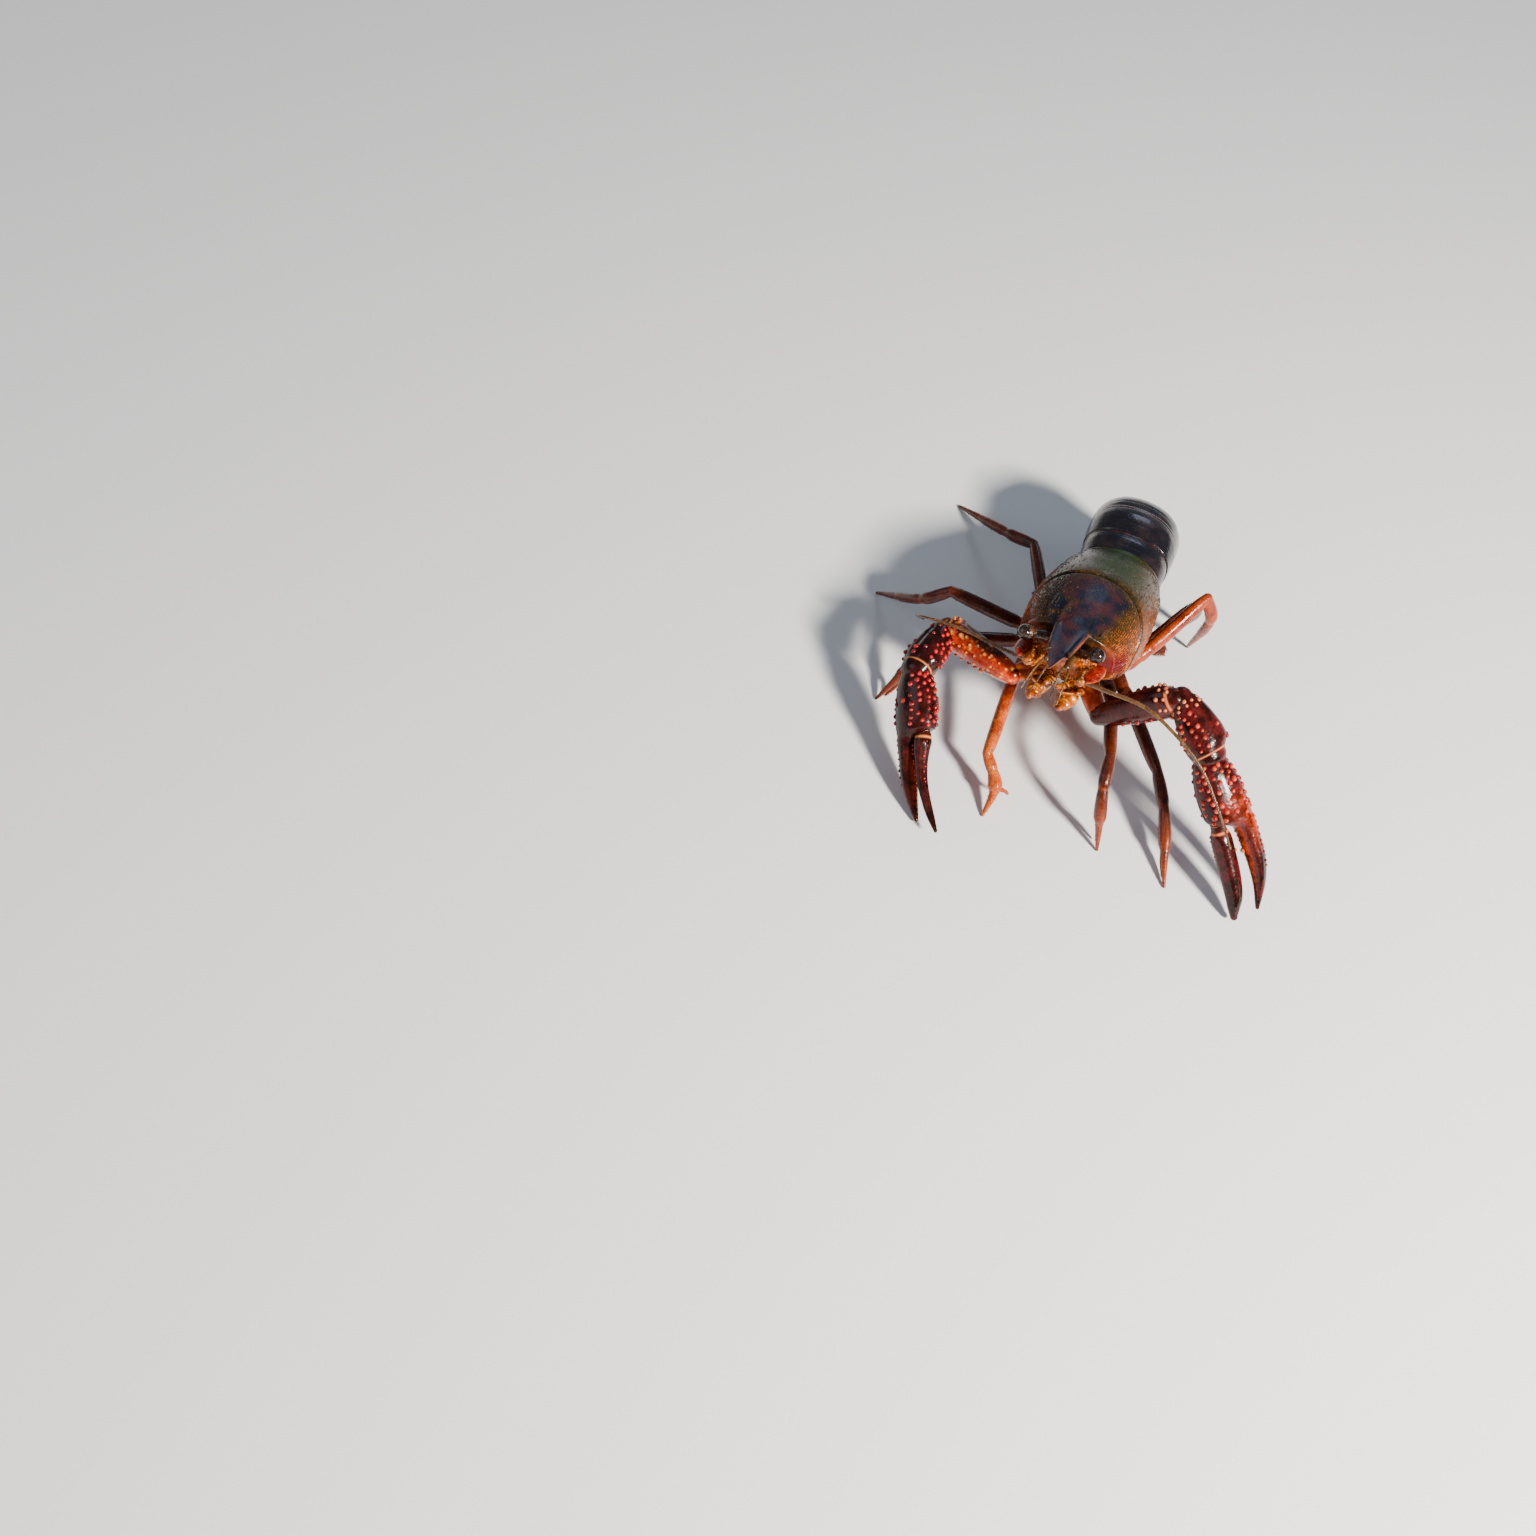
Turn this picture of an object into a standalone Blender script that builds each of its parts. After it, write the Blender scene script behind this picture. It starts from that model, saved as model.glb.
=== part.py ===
import math
import random

import bmesh
import bpy
from mathutils import Matrix, Vector

# All sizes are in millimetres and become metres when a mesh is made.
METRE = 0.001
GAP = 0.3
SEED = 7

# Stance of the body: nose raised, leaning a little to its right.
BODY_PITCH = math.radians(16.0)
BODY_LEAN = math.radians(-4.2)
BODY_HEIGHT = 11.9
BODY_MIDDLE = 15.0
BODY_OUT = 0.6
STANCE_SHIFT = Vector((-4.17, 2.14, 0.0))

# Head and thorax, measured forward from the rear edge of the carapace.
CARAPACE_FRONT = 33.5
CHEEK_FRONT = 29.5
GROOVE_TOP = 17.5
GROOVE_SIDE = 25.5
GROOVE_DEPTH = 0.55
CARAPACE_TOP = ((0, 17.4), (5, 18.4), (12, 19.3), (18, 19.8), (25, 19.0), (30, 17.6), (34, 16.2))
CARAPACE_EDGE = ((0, 4.0), (5, 3.0), (12, 2.4), (20, 2.4), (25, 2.9), (29, 4.8), (34, 8.8))
CARAPACE_HALF_WIDTH = ((0, 9.2), (5, 10.6), (12, 11.4), (18, 11.6), (24, 11.1), (29, 9.8), (34, 7.3))
CARAPACE_SIDES = 26
# Shares of the way from the rear edge (0) over the groove (0.5) to the front edge (1).
CARAPACE_SHARES = (
    0.0, 0.03, 0.07, 0.17, 0.27, 0.37, 0.45, 0.476, 0.5, 0.524, 0.56, 0.64, 0.73, 0.82, 0.90, 0.96, 1.0,
)
CARAPACE_CUTTER_SHARES = (0.0, 0.14, 0.28, 0.41, 0.5, 0.60, 0.74, 0.87, 1.0)
REAR_BAND_SHARE = 0.03
REAR_BAND_PINCH = 0.985
FRONT_LIP = 0.5
FRONT_LIP_SHRINK = 0.85
FRONT_LIP_HEIGHT = 13.0
CARAPACE_CORE_HEIGHT = 9.0

# Underside: breast plate between the legs, and the face below the eyes.
UNDER_PLACES = (0.6, 4.0, 8.0, 12.0, 17.0, 22.0, 26.0, 29.0, 31.5, 33.5, 34.5)
UNDER_SIDES = 12
UNDER_TOP = ((0, 6.0), (12, 6.0), (26, 8.0), (30, 11.0), (34.5, 13.4))
UNDER_BOTTOM = ((0, 3.2), (4, 1.0), (10, 0.0), (22, 0.0), (27, 1.2), (31, 4.2), (34.5, 7.2))
UNDER_HALF_WIDTH = ((0, 5.0), (6, 6.4), (12, 6.2), (22, 5.0), (27, 4.8), (31, 6.0), (34.5, 5.2))

# Rostrum: half width, top and thickness along its length, with a raised rim on each side.
ROSTRUM_PLACES = (28.0, 30.5, 33.0, 35.0, 37.0, 39.0, 41.0, 41.8, 42.8, 44.0, 45.0)
ROSTRUM_HALF_WIDTH = ((28, 3.4), (33, 3.4), (37, 2.9), (41, 2.1), (42, 1.4), (43.4, 0.85), (45, 0.3))
ROSTRUM_TOP = ((28, 17.9), (33, 16.9), (37, 15.8), (41, 14.8), (45, 13.8))
ROSTRUM_THICKNESS = ((28, 4.0), (33, 2.8), (37, 2.0), (41, 1.4), (45, 0.4))
ROSTRUM_RIM = 0.5

# Ridges behind the eyes, and the single spines as root, aim, radius and height.
EYE_RIDGE = ((24.0, 4.6, 18.0), (28.0, 4.9, 17.5), (31.6, 5.1, 16.2))
EYE_RIDGE_SIZES = ((0, 0.5, 0.5), (0.5, 0.6, 0.6), (1, 0.6, 0.6))
CARAPACE_SPINES = (
    ((41.0, 2.0, 15.0), (42.8, 2.9, 14.8), 0.45, 1.3),
    ((31.4, 5.1, 16.4), (33.4, 5.2, 16.4), 0.50, 1.5),
    ((18.6, 10.6, 9.0), (19.6, 12.0, 9.2), 0.50, 1.1),
)

# Eyes.
EYE_RADIUS = 1.45
# The stalks are swung a little apart in the pose.
EYE_PLACES = {"right": (36.2, 7.7, 13.4), "left": (36.0, 6.2, 14.3)}

# Limbs of one side of the head: route as (forward, out, up) on the body, half sizes along it,
# the way its first half size points, and the number of sides.
HEAD_LIMBS = {
    "stalk": (
        ((33.8, 3.4, 13.2),),
        ((0, 1.1, 1.1), (0.5, 0.9, 0.9), (1, 1.1, 1.1)), (0, 0, 1), 8,
    ),
    "base": (
        ((32.6, 4.6, 8.6), (35.0, 5.0, 8.6), (38.2, 5.2, 9.4)),
        ((0, 1.9, 1.9), (0.3, 1.8, 1.8), (0.42, 1.4, 1.4), (0.5, 1.5, 1.5), (0.75, 1.4, 1.4), (1, 1.1, 1.1)),
        (0, 0, 1), 8,
    ),
    "scale": (
        ((33.2, 7.3, 10.4), (37.1, 6.95, 10.8), (41.0, 6.6, 11.2)),
        ((0, 0.55, 1.1), (0.3, 0.5, 1.5), (0.7, 0.45, 1.4), (0.92, 0.4, 0.8), (1, 0.35, 0.4)), (0, 0, 1), 8,
    ),
    "antennule": (
        ((34.6, 1.9, 11.0), (36.4, 1.95, 11.0), (38.2, 2.0, 11.0)),
        ((0, 1.0, 1.0), (0.45, 0.8, 0.8), (1, 0.65, 0.65)), (0, 0, 1), 6,
    ),
    "mouth": (
        ((25.5, 2.1, 0.2), (32.0, 3.1, 0.8), (38.0, 3.0, 2.0)),
        (
            (0, 1.4, 1.1), (0.35, 1.9, 1.4), (0.52, 1.8, 1.35), (0.6, 1.3, 1.05), (0.72, 1.45, 1.2),
            (0.84, 1.05, 0.9), (1, 0.6, 0.55),
        ), (0, 1, 0), 8,
    ),
    "palp": (
        ((27.0, 1.7, 0.9), (31.5, 1.4, 2.4), (35.4, 1.2, 4.6)),
        ((0, 0.9, 0.8), (0.5, 0.85, 0.8), (1, 0.5, 0.45)), (0, 1, 0), 5,
    ),
}
# The two short whips of an antennule: how far out, down and forward each one reaches.
WHIPS = ((0.35, 2.2, 7.5), (-0.45, 3.4, 6.0))
WHIP_SIZES = ((0, 0.36, 0.36), (0.5, 0.3, 0.3), (1, 0.25, 0.25))
WHIP_ROOT = 0.85

# Long feelers of the pose, from their base outward over the floor.
FEELER_ROUTES = {
    "left": (
        (10.0, -20.5, 29.2), (17.7, -20.6, 29.8), (24.5, -22.0, 28.4),
        (31.2, -23.7, 25.3), (37.1, -26.4, 20.5), (42.4, -28.4, 14.4),
    ),
    "right": (
        (-10.8, -16.6, 22.8), (-17.6, -16.0, 22.3), (-24.0, -16.2, 21.7),
        (-28.3, -15.3, 19.6), (-30.0, -12.6, 16.2), (-29.2, -9.6, 12.8),
    ),
}
FEELER_RADIUS = 0.55
FEELER_TIP_RADIUS = 0.25
FEELER_POINTS = 14

# Abdomen: one row per ring, from the hinge in front of it to the hinge behind it.
# length between hinges, bend from the body line in degrees, half width, height, side lobe depth
TAIL_RINGS = (
    (6.6, -14.0, 8.8, 6.3, 4.8),
    (6.0, -11.0, 9.3, 7.0, 6.8),
    (6.2, 16.0, 9.4, 6.8, 6.6),
    (6.0, 62.0, 8.9, 5.8, 5.8),
    (5.8, 112.0, 8.1, 3.95, 4.6),
    (6.0, 158.0, 7.0, 3.0, 2.6),
)
TAIL_HINGE_HEIGHT = 11.0
TAIL_SWAY = -0.10
TAIL_BELLY_DEPTH = 3.0
TAIL_PLATE_RISE = 0.06
TAIL_REAR_LIP = 0.012
TAIL_SHARES = (0.0, 0.10, 0.32, 0.55, 0.78, 0.93, 1.0)
TAIL_ARCH_TURNS = (90.0, 68.0, 46.0, 26.0, 10.0)
LOBE_THICKNESS = 0.8

# Tail fan: outline and section shares of a blade, then each blade's swing from the middle in
# degrees, its root out and ahead, its length and its half width.
FAN_THICKNESS = 0.9
FAN_STATIONS = ((0.0, 0.34), (0.12, 0.55), (0.32, 0.85), (0.55, 1.0), (0.78, 0.94), (0.92, 0.66), (1.0, 0.3))
FAN_PROFILE = (
    (1.0, 0.3), (0.85, 1.0), (0.12, 1.0), (0.0, 1.25), (-0.12, 1.0), (-0.85, 1.0), (-1.0, 0.3),
    (-0.8, 0.0), (0.8, 0.0),
)
TELSON_LENGTH = 9.7
TELSON_HALF_WIDTH = 3.1
TELSON_SET_BACK = 0.06
FAN_BLADES = (
    ("inner", 22.0, 4.0, 1.05, 9.6, 2.2),
    ("outer", 66.0, 6.3, 1.55, 9.4, 2.2),
)

# Hips of the five limb pairs: forward, out, up on the body.
HIPS = {
    1: (25.0, 5.0, 2.2), 2: (21.0, 5.0, 1.6), 3: (16.5, 5.5, 1.2), 4: (11.5, 5.5, 1.2), 5: (6.5, 5.2, 1.4),
}
HIP_INSET = 0.6
ARM_HIP_INSET = 0.8

# Walking legs of the pose: first bend, knee, ankle and foot on the floor.
LEGS = {
    ("right", 2): ((-7.8, -8.3, 12.8), (-5.2, -28.2, 7.3), (-1.0, -32.1, 4.0), (-0.6, -36.7)),
    ("right", 3): ((-9.7, -1.6, 11.2), (-22.6, -10.4, 12.2), (-26.0, -14.8, 9.0), (-30.8, -23.0)),
    ("right", 4): ((-9.8, 2.9, 10.3), (-27.3, -1.9, 15.1), (-32.5, -2.7, 10.2), (-43.7, 2.2)),
    ("right", 5): ((-9.3, 9.7, 9.2), (-19.6, 25.0, 9.8), (-25.5, 27.1, 7.5), (-40.2, 35.6)),
    ("left", 2): ((9.0, -5.4, 13.2), (15.7, -22.4, 15.7), (17.4, -27.7, 12.2), (21.3, -31.7)),
    ("left", 3): ((9.8, -1.8, 12.8), (24.5, -17.0, 11.3), (29.1, -21.6, 7.0), (35.4, -32.3)),
    ("left", 4): ((9.9, 4.3, 12.3), (17.5, 19.7, 21.7), (19.9, 20.9, 15.8), (17.9, 26.5)),
    ("left", 5): ((9.4, 9.8, 9.8), (15.5, 23.5, 14.0), (16.5, 27.5, 9.5), (15.0, 31.5)),
}
LEG_UPPER_SIZES = (
    (0.0, 1.9, 1.9), (0.12, 1.8, 1.9), (0.24, 1.4, 1.5), (0.36, 1.2, 1.3),
    (0.48, 1.3, 1.55), (0.75, 1.3, 1.6), (0.92, 1.2, 1.4), (1.0, 1.0, 1.1),
)
LEG_LOWER_SIZES = (
    (0.0, 1.0, 1.1), (0.10, 1.15, 1.3), (0.25, 1.15, 1.3), (0.31, 0.95, 1.02), (0.38, 1.02, 1.12),
    (0.60, 0.9, 0.95), (0.68, 0.7, 0.76), (0.74, 0.68, 0.72), (0.90, 0.45, 0.45), (1.0, 0.3, 0.3),
)
PINCER_LEG_SIZES = (
    (0.0, 1.0, 1.1), (0.10, 1.2, 1.3), (0.25, 1.2, 1.3), (0.31, 1.0, 1.1), (0.40, 1.12, 1.22),
    (0.62, 1.2, 1.35), (0.70, 0.8, 0.9), (0.85, 0.55, 0.6), (1.0, 0.28, 0.28),
)
LEG_SIDES = 8
LAST_PINCER_PAIR = 3
# The moving finger of a pincer leg: (place along the leg, height above its line) of root and tip.
PINCER_ROOT = (0.64, 0.5)
PINCER_TIP = (0.93, 1.5)
PINCER_ARCH = 0.55
PINCER_LOWEST = 0.6
# One leg of the pose holds its pincer open sideways, and is broadest where that finger starts.
OPEN_PINCER_LEG = ("right", 2)
OPEN_PINCER_LEG_SIZES = (
    (0.0, 0.95, 1.0), (0.08, 1.1, 1.2), (0.22, 1.15, 1.25), (0.28, 1.05, 1.1), (0.4, 1.3, 1.35),
    (0.53, 1.4, 1.45), (0.62, 0.95, 1.0), (0.8, 0.62, 0.65), (1.0, 0.3, 0.3),
)
OPEN_PINCER_ROOT = (0.55, 0.5)
OPEN_PINCER_TIP = (0.61, 2.6)
PINCER_SIZES = ((0.0, 0.5, 0.6), (0.5, 0.42, 0.45), (1.0, 0.26, 0.26))

# Claw arms of the pose: first bend, elbow, wrist and tip.
ARMS = {
    "right": ((-7.8, -16.2, 16.8), (-23.3, -13.4, 17.6), (-24.2, -24.2, 15.6), (-10.3, -45.2, 1.4)),
    "left": ((10.3, -15.8, 16.8), (21.6, -14.9, 29.0), (31.1, -19.1, 23.8), (51.5, -29.4, 3.0)),
}
ARM_ORDER = ("ischium", "merus", "carpus", "palm", "finger")
# Direction across each claw, from the fixed finger to the moving one.
CLAW_ACROSS = {"right": Vector((0.73, 0.01, 0.68)), "left": Vector((-0.63, -0.71, -0.31))}
ISCHIUM_SIZES = ((0, 2.2, 2.3), (0.4, 2.1, 2.2), (0.75, 1.9, 2.1), (1, 1.6, 1.7))
MERUS_SIZES = (
    (0, 1.8, 1.9), (0.12, 2.1, 2.5), (0.4, 2.5, 3.1), (0.75, 2.7, 3.5), (0.93, 2.5, 3.2), (1, 2.0, 2.4),
)
CARPUS_SIZES = ((0, 2.0, 2.1), (0.15, 2.8, 2.7), (0.45, 3.7, 3.2), (0.8, 4.1, 3.3), (1, 3.2, 2.7))
PALM_SIZES = (
    (0.0, 2.1, 1.9), (0.04, 2.9, 2.4), (0.12, 3.8, 2.9), (0.22, 4.3, 3.1), (0.33, 4.4, 3.1),
    (0.405, 4.1, 2.9), (0.43, 3.1, 2.7), (0.47, 2.2, 2.4), (0.58, 1.9, 2.1), (0.72, 1.65, 1.8),
    (0.86, 1.15, 1.25), (0.95, 0.7, 0.75), (1.0, 0.4, 0.4),
)
FINGER_SIZES = {
    "right": (
        (0.0, 1.4, 1.6), (0.08, 1.65, 1.8), (0.3, 1.2, 1.35), (0.6, 0.95, 1.1), (0.85, 0.75, 0.8),
        (1.0, 0.35, 0.35),
    ),
    "left": (
        (0.0, 1.4, 1.6), (0.08, 1.85, 1.95), (0.3, 1.9, 1.85), (0.6, 1.8, 1.7), (0.85, 1.4, 1.35),
        (1.0, 0.7, 0.7),
    ),
}
CLAW_SQUARENESS = 2.2
# Where the moving finger starts, how far past the fixed finger it reaches, and how far out both bow.
FINGER_START = 0.45
FINGER_REACH = {"right": 1.08, "left": 1.00}
# How far the moving finger stands off the claw's line, and how far its middle lifts off their plane.
FINGER_OUT = {
    "right": ((0, 1.5), (0.15, 1.2), (0.34, 1.3), (0.5, 1.6), (0.67, 2.2), (0.84, 2.95), (1.0, 3.9)),
    "left": ((0, 1.9), (0.15, 2.0), (0.5, 2.3), (0.8, 2.9), (1.0, 4.0)),
}
FINGER_LIFT = {"right": 0.7, "left": 0.0}
# How far the wrist piece stands off the line from elbow to wrist.
CARPUS_OUT = {
    "right": ((0, 0.0), (1.0, 0.0)),
    "left": ((0, -1.2), (0.3, -1.2), (0.8, -1.0), (1.0, -0.4)),
}
FIXED_FINGER_OUT = {"right": 2.0, "left": 2.8}

# Tubercles of the claw arm: first and last place, steps along, lanes round, first lane's angle,
# sweep of the lanes, radius and height.
ARM_SPINES = {
    "palm": (0.07, 0.39, 5, 6, 25.0, 310.0, 0.62, 0.55),
    "carpus": (0.28, 0.85, 4, 4, 25.0, 310.0, 0.58, 0.55),
    "merus": (0.35, 0.82, 4, 2, 25.0, 310.0, 0.45, 0.60),
    "finger": (0.08, 0.50, 3, 2, 18.0, 226.0, 0.36, 0.32),
}
SPINE_SIDES = 4
SPINE_SUNK = 0.55
SPINE_SHOULDER_HEIGHT = 0.45
SPINE_SHOULDER_RADIUS = 0.78
SPINE_FORWARD_LEAN = 0.5
SPINE_TURN_SPREAD = 9.0
SPINE_PLACE_SPREAD = 0.2

# Plain colour and roughness of each material.
MATERIALS = {
    "carapace_shell": ((0.10, 0.07, 0.03), 0.35),
    "underside_shell": ((0.45, 0.16, 0.04), 0.4),
    "abdomen_shell": ((0.05, 0.02, 0.02), 0.3),
    "claw_shell": ((0.14, 0.01, 0.01), 0.3),
    "leg_shell": ((0.28, 0.06, 0.02), 0.35),
    "mouth_shell": ((0.55, 0.22, 0.05), 0.4),
    "feeler_shell": ((0.22, 0.12, 0.06), 0.4),
    "eye_surface": ((0.01, 0.01, 0.012), 0.1),
}

parts = bpy.data.collections.new("crayfish")
cutters = bpy.data.collections.new("cutters")


def clear_scene():
    """Empties the file of every object it opens with."""
    for thing in list(bpy.data.objects):
        bpy.data.objects.remove(thing, do_unlink=True)
    bpy.context.scene.collection.children.link(parts)
    bpy.context.scene.collection.children.link(cutters)
    cutters.hide_render = True


def make_material(name):
    """Makes one plain shell colour."""
    colour, roughness = MATERIALS[name]
    material = bpy.data.materials.new(name)
    material.use_nodes = True
    shader = material.node_tree.nodes["Principled BSDF"]
    shader.inputs["Base Color"].default_value = (*colour, 1.0)
    shader.inputs["Roughness"].default_value = roughness
    return material


def smooth(stations, at):
    """Reads the smooth line through (place, value) stations at one place."""
    if at <= stations[0][0]:
        return stations[0][1]
    if at >= stations[-1][0]:
        return stations[-1][1]
    slopes = []
    for here in range(len(stations)):
        before = stations[max(here - 1, 0)]
        after = stations[min(here + 1, len(stations) - 1)]
        slopes.append((after[1] - before[1]) / (after[0] - before[0]))
    here = max(index for index in range(len(stations) - 1) if stations[index][0] <= at)
    low, high = stations[here], stations[here + 1]
    span = high[0] - low[0]
    t = (at - low[0]) / span
    blend = t * t * (3.0 - 2.0 * t)
    lift_low = t * (1.0 - t) ** 2 * slopes[here] * span
    lift_high = -t * t * (1.0 - t) * slopes[here + 1] * span
    return low[1] * (1.0 - blend) + high[1] * blend + lift_low + lift_high


def soft_power(value, power):
    """Raises the size of a value to a power and keeps its sign."""
    return math.copysign(abs(value) ** power, value)


def body_to_floor(forward, out, up):
    """Turns a place on the body into a place over the floor."""
    place = Vector((out, BODY_MIDDLE - forward, up))
    place = Matrix.Rotation(BODY_LEAN, 3, "Y") @ place
    place = Matrix.Rotation(-BODY_PITCH, 3, "X") @ place
    return place + Vector((BODY_OUT, 0.0, BODY_HEIGHT))


def sign_of(side):
    """The body's left is the plus side."""
    return 1.0 if side == "left" else -1.0


def add_object(name, mesh, collection):
    """Puts a mesh into a collection; a cutter shows as wires."""
    thing = bpy.data.objects.new(name, mesh)
    collection.objects.link(thing)
    if collection is cutters:
        thing.display_type = "WIRE"
    return thing


def solid(name, rings, collection=cutters):
    """Closes a row of equal rings into one solid; a ring of one point makes a tip."""
    shape = bmesh.new()
    rows = []
    for ring in rings:
        rows.append([shape.verts.new((point + STANCE_SHIFT) * METRE) for point in ring])
    for low, high in zip(rows, rows[1:]):
        count = max(len(low), len(high))
        for step in range(count):
            after = (step + 1) % count
            if len(high) == 1:
                shape.faces.new((low[step], low[after], high[0]))
            else:
                shape.faces.new((low[step], low[after], high[after], high[step]))
    for row in (rows[0], rows[-1]):
        if len(row) > 2:
            shape.faces.new(row)
    bmesh.ops.recalc_face_normals(shape, faces=shape.faces)
    mesh = bpy.data.meshes.new(name)
    shape.to_mesh(mesh)
    shape.free()
    return add_object(name, mesh, collection)


def keep_largest(mesh):
    """Drops every loose scrap but the largest closed surface."""
    shape = bmesh.new()
    shape.from_mesh(mesh)
    waiting = set(shape.verts)
    islands = []
    while waiting:
        queue = [waiting.pop()]
        island = set(queue)
        while queue:
            for edge in queue.pop().link_edges:
                for vertex in edge.verts:
                    if vertex in waiting:
                        waiting.discard(vertex)
                        island.add(vertex)
                        queue.append(vertex)
        islands.append(island)
    islands.sort(key=len)
    for island in islands[:-1]:
        bmesh.ops.delete(shape, geom=list(island), context="VERTS")
    bmesh.ops.dissolve_degenerate(shape, dist=0.002 * METRE, edges=shape.edges)
    bmesh.ops.triangulate(shape, faces=[face for face in shape.faces if len(face.verts) > 4])
    shape.to_mesh(mesh)
    shape.free()


def combine(thing, others, operation):
    """Joins the others to a thing, or takes them out of it, in one Boolean step."""
    if not others:
        return
    group = bpy.data.collections.new("operands")
    bpy.context.scene.collection.children.link(group)
    for other in others:
        for owner in list(other.users_collection):
            owner.objects.unlink(other)
        group.objects.link(other)
    step = thing.modifiers.new("combine", "BOOLEAN")
    step.operation = operation
    step.operand_type = "COLLECTION"
    step.collection = group
    step.solver = "MANIFOLD"
    view = bpy.context.evaluated_depsgraph_get()
    mesh = bpy.data.meshes.new_from_object(thing.evaluated_get(view))
    thing.modifiers.remove(step)
    keep_largest(mesh)
    thing.data = mesh
    for other in others:
        bpy.data.objects.remove(other, do_unlink=True)
    bpy.data.collections.remove(group)


def fuse(thing, others):
    """Joins solids into one."""
    combine(thing, others, "UNION")


def cut(thing, others):
    """Takes the room of other solids out of one."""
    combine(thing, others, "DIFFERENCE")


def oval(centre, side, up, half_side, half_up, count, power=2.0):
    """One ring of points; a power above two makes it squarer."""
    points = []
    for step in range(count):
        angle = 2.0 * math.pi * step / count
        across = soft_power(math.cos(angle), 2.0 / power)
        along = soft_power(math.sin(angle), 2.0 / power)
        points.append(centre + side * (across * half_side) + up * (along * half_up))
    return points


class Limb:
    """A tapering rod along a smooth line, with its half sizes read along the way."""

    def __init__(self, points, side, sizes, count=10, power=2.0, ends=("round", "round"), shift=None):
        self.points = [Vector(point) for point in points]
        self.side = Vector(side)
        self.sizes = sizes
        self.count = count
        self.power = power
        self.ends = ends
        self.shift = shift
        places = [0.0]
        for before, after in zip(self.points, self.points[1:]):
            places.append(places[-1] + (after - before).length)
        self.places = [place / places[-1] for place in places]

    def line(self, place):
        """The smooth line through the rod's points at one share of its length."""
        rows = [[(p, point[axis]) for p, point in zip(self.places, self.points)] for axis in range(3)]
        return Vector([smooth(row, place) for row in rows])

    def centre(self, place):
        """The middle of the rod at one share of its length: its line, moved to its side."""
        centre = self.line(place)
        if self.shift:
            centre += self.side.normalized() * smooth(self.shift, place)
        return centre

    def frame(self, place):
        """The ways ahead, to the side and up at one share of its length."""
        step = 0.01
        ahead = self.line(min(place + step, 1.0)) - self.line(max(place - step, 0.0))
        ahead.normalize()
        side = (self.side - ahead * self.side.dot(ahead)).normalized()
        return ahead, side, ahead.cross(side)

    def half_sizes(self, place):
        """Half the width and half the height at one share of its length."""
        wide = smooth([(row[0], row[1]) for row in self.sizes], place)
        tall = smooth([(row[0], row[2]) for row in self.sizes], place)
        return wide, tall

    def ring(self, centre, frame, wide, tall):
        """One ring across the rod."""
        ahead, side, up = frame
        return oval(centre, side, up, wide, tall, self.count, self.power)

    def rings(self, grow=0.0):
        """All rings from end to end, each one larger by grow."""
        rows = self.end_rings(0.0, -1.0, self.ends[0], grow)
        for place, wide, tall in self.sizes:
            rows.append(self.ring(self.centre(place), self.frame(place), wide + grow, tall + grow))
        return rows + self.end_rings(1.0, 1.0, self.ends[1], grow)

    def end_rings(self, place, way, end, grow):
        """Rounds an end, or sets it on a small flat on the floor."""
        frame = self.frame(place)
        wide, tall = [size + grow for size in self.half_sizes(place)]
        centre = self.centre(place)
        rows = []
        if end == "round":
            for turn in (35.0, 65.0):
                ease = math.cos(math.radians(turn))
                reach = min(wide, tall) * math.sin(math.radians(turn))
                out = centre + frame[0] * (way * reach)
                rows.append(self.ring(out, frame, wide * ease, tall * ease))
        if end == "foot":
            level = Vector((self.side.x, self.side.y, 0.0)).normalized()
            across = Vector((0.0, 0.0, -1.0)).cross(level)
            ground = Vector((centre.x, centre.y, -grow))
            rows.append(oval(ground, level, across, wide, tall, self.count))
        if way < 0.0:
            rows.reverse()
        return rows

    def on_surface(self, place, angle):
        """Gives a place on the skin, the way out of it and the way ahead."""
        ahead, side, up = self.frame(place)
        wide, tall = self.half_sizes(place)
        across, along = math.cos(angle), math.sin(angle)
        spot = self.centre(place) + side * (wide * across) + up * (tall * along)
        return spot, (side * (across / wide) + up * (along / tall)).normalized(), ahead

    def make(self, name, grow=0.0, collection=cutters):
        """Makes the rod's solid."""
        return solid(name, self.rings(grow), collection)


def spine(spot, outward, radius, height, lean=None):
    """A low pointed tubercle with its root sunk in the shell."""
    top_way = (outward + lean).normalized() if lean else outward
    side = outward.orthogonal().normalized()
    up = outward.cross(side)
    narrow = radius * SPINE_SHOULDER_RADIUS
    shoulder = spot + top_way * (height * SPINE_SHOULDER_HEIGHT)
    root_ring = oval(spot - outward * SPINE_SUNK, side, up, radius, radius, SPINE_SIDES)
    shoulder_ring = oval(shoulder, side, up, narrow, narrow, SPINE_SIDES)
    return solid("spine", (root_ring, shoulder_ring, [spot + top_way * height]))


def finish(thing, material, turn=32.0):
    """Gives a node its material and smooth shading up to its edges."""
    thing.data.materials.clear()
    thing.data.materials.append(material)
    thing.data.shade_smooth()
    thing.data.set_sharp_from_angle(angle=math.radians(turn))


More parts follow.
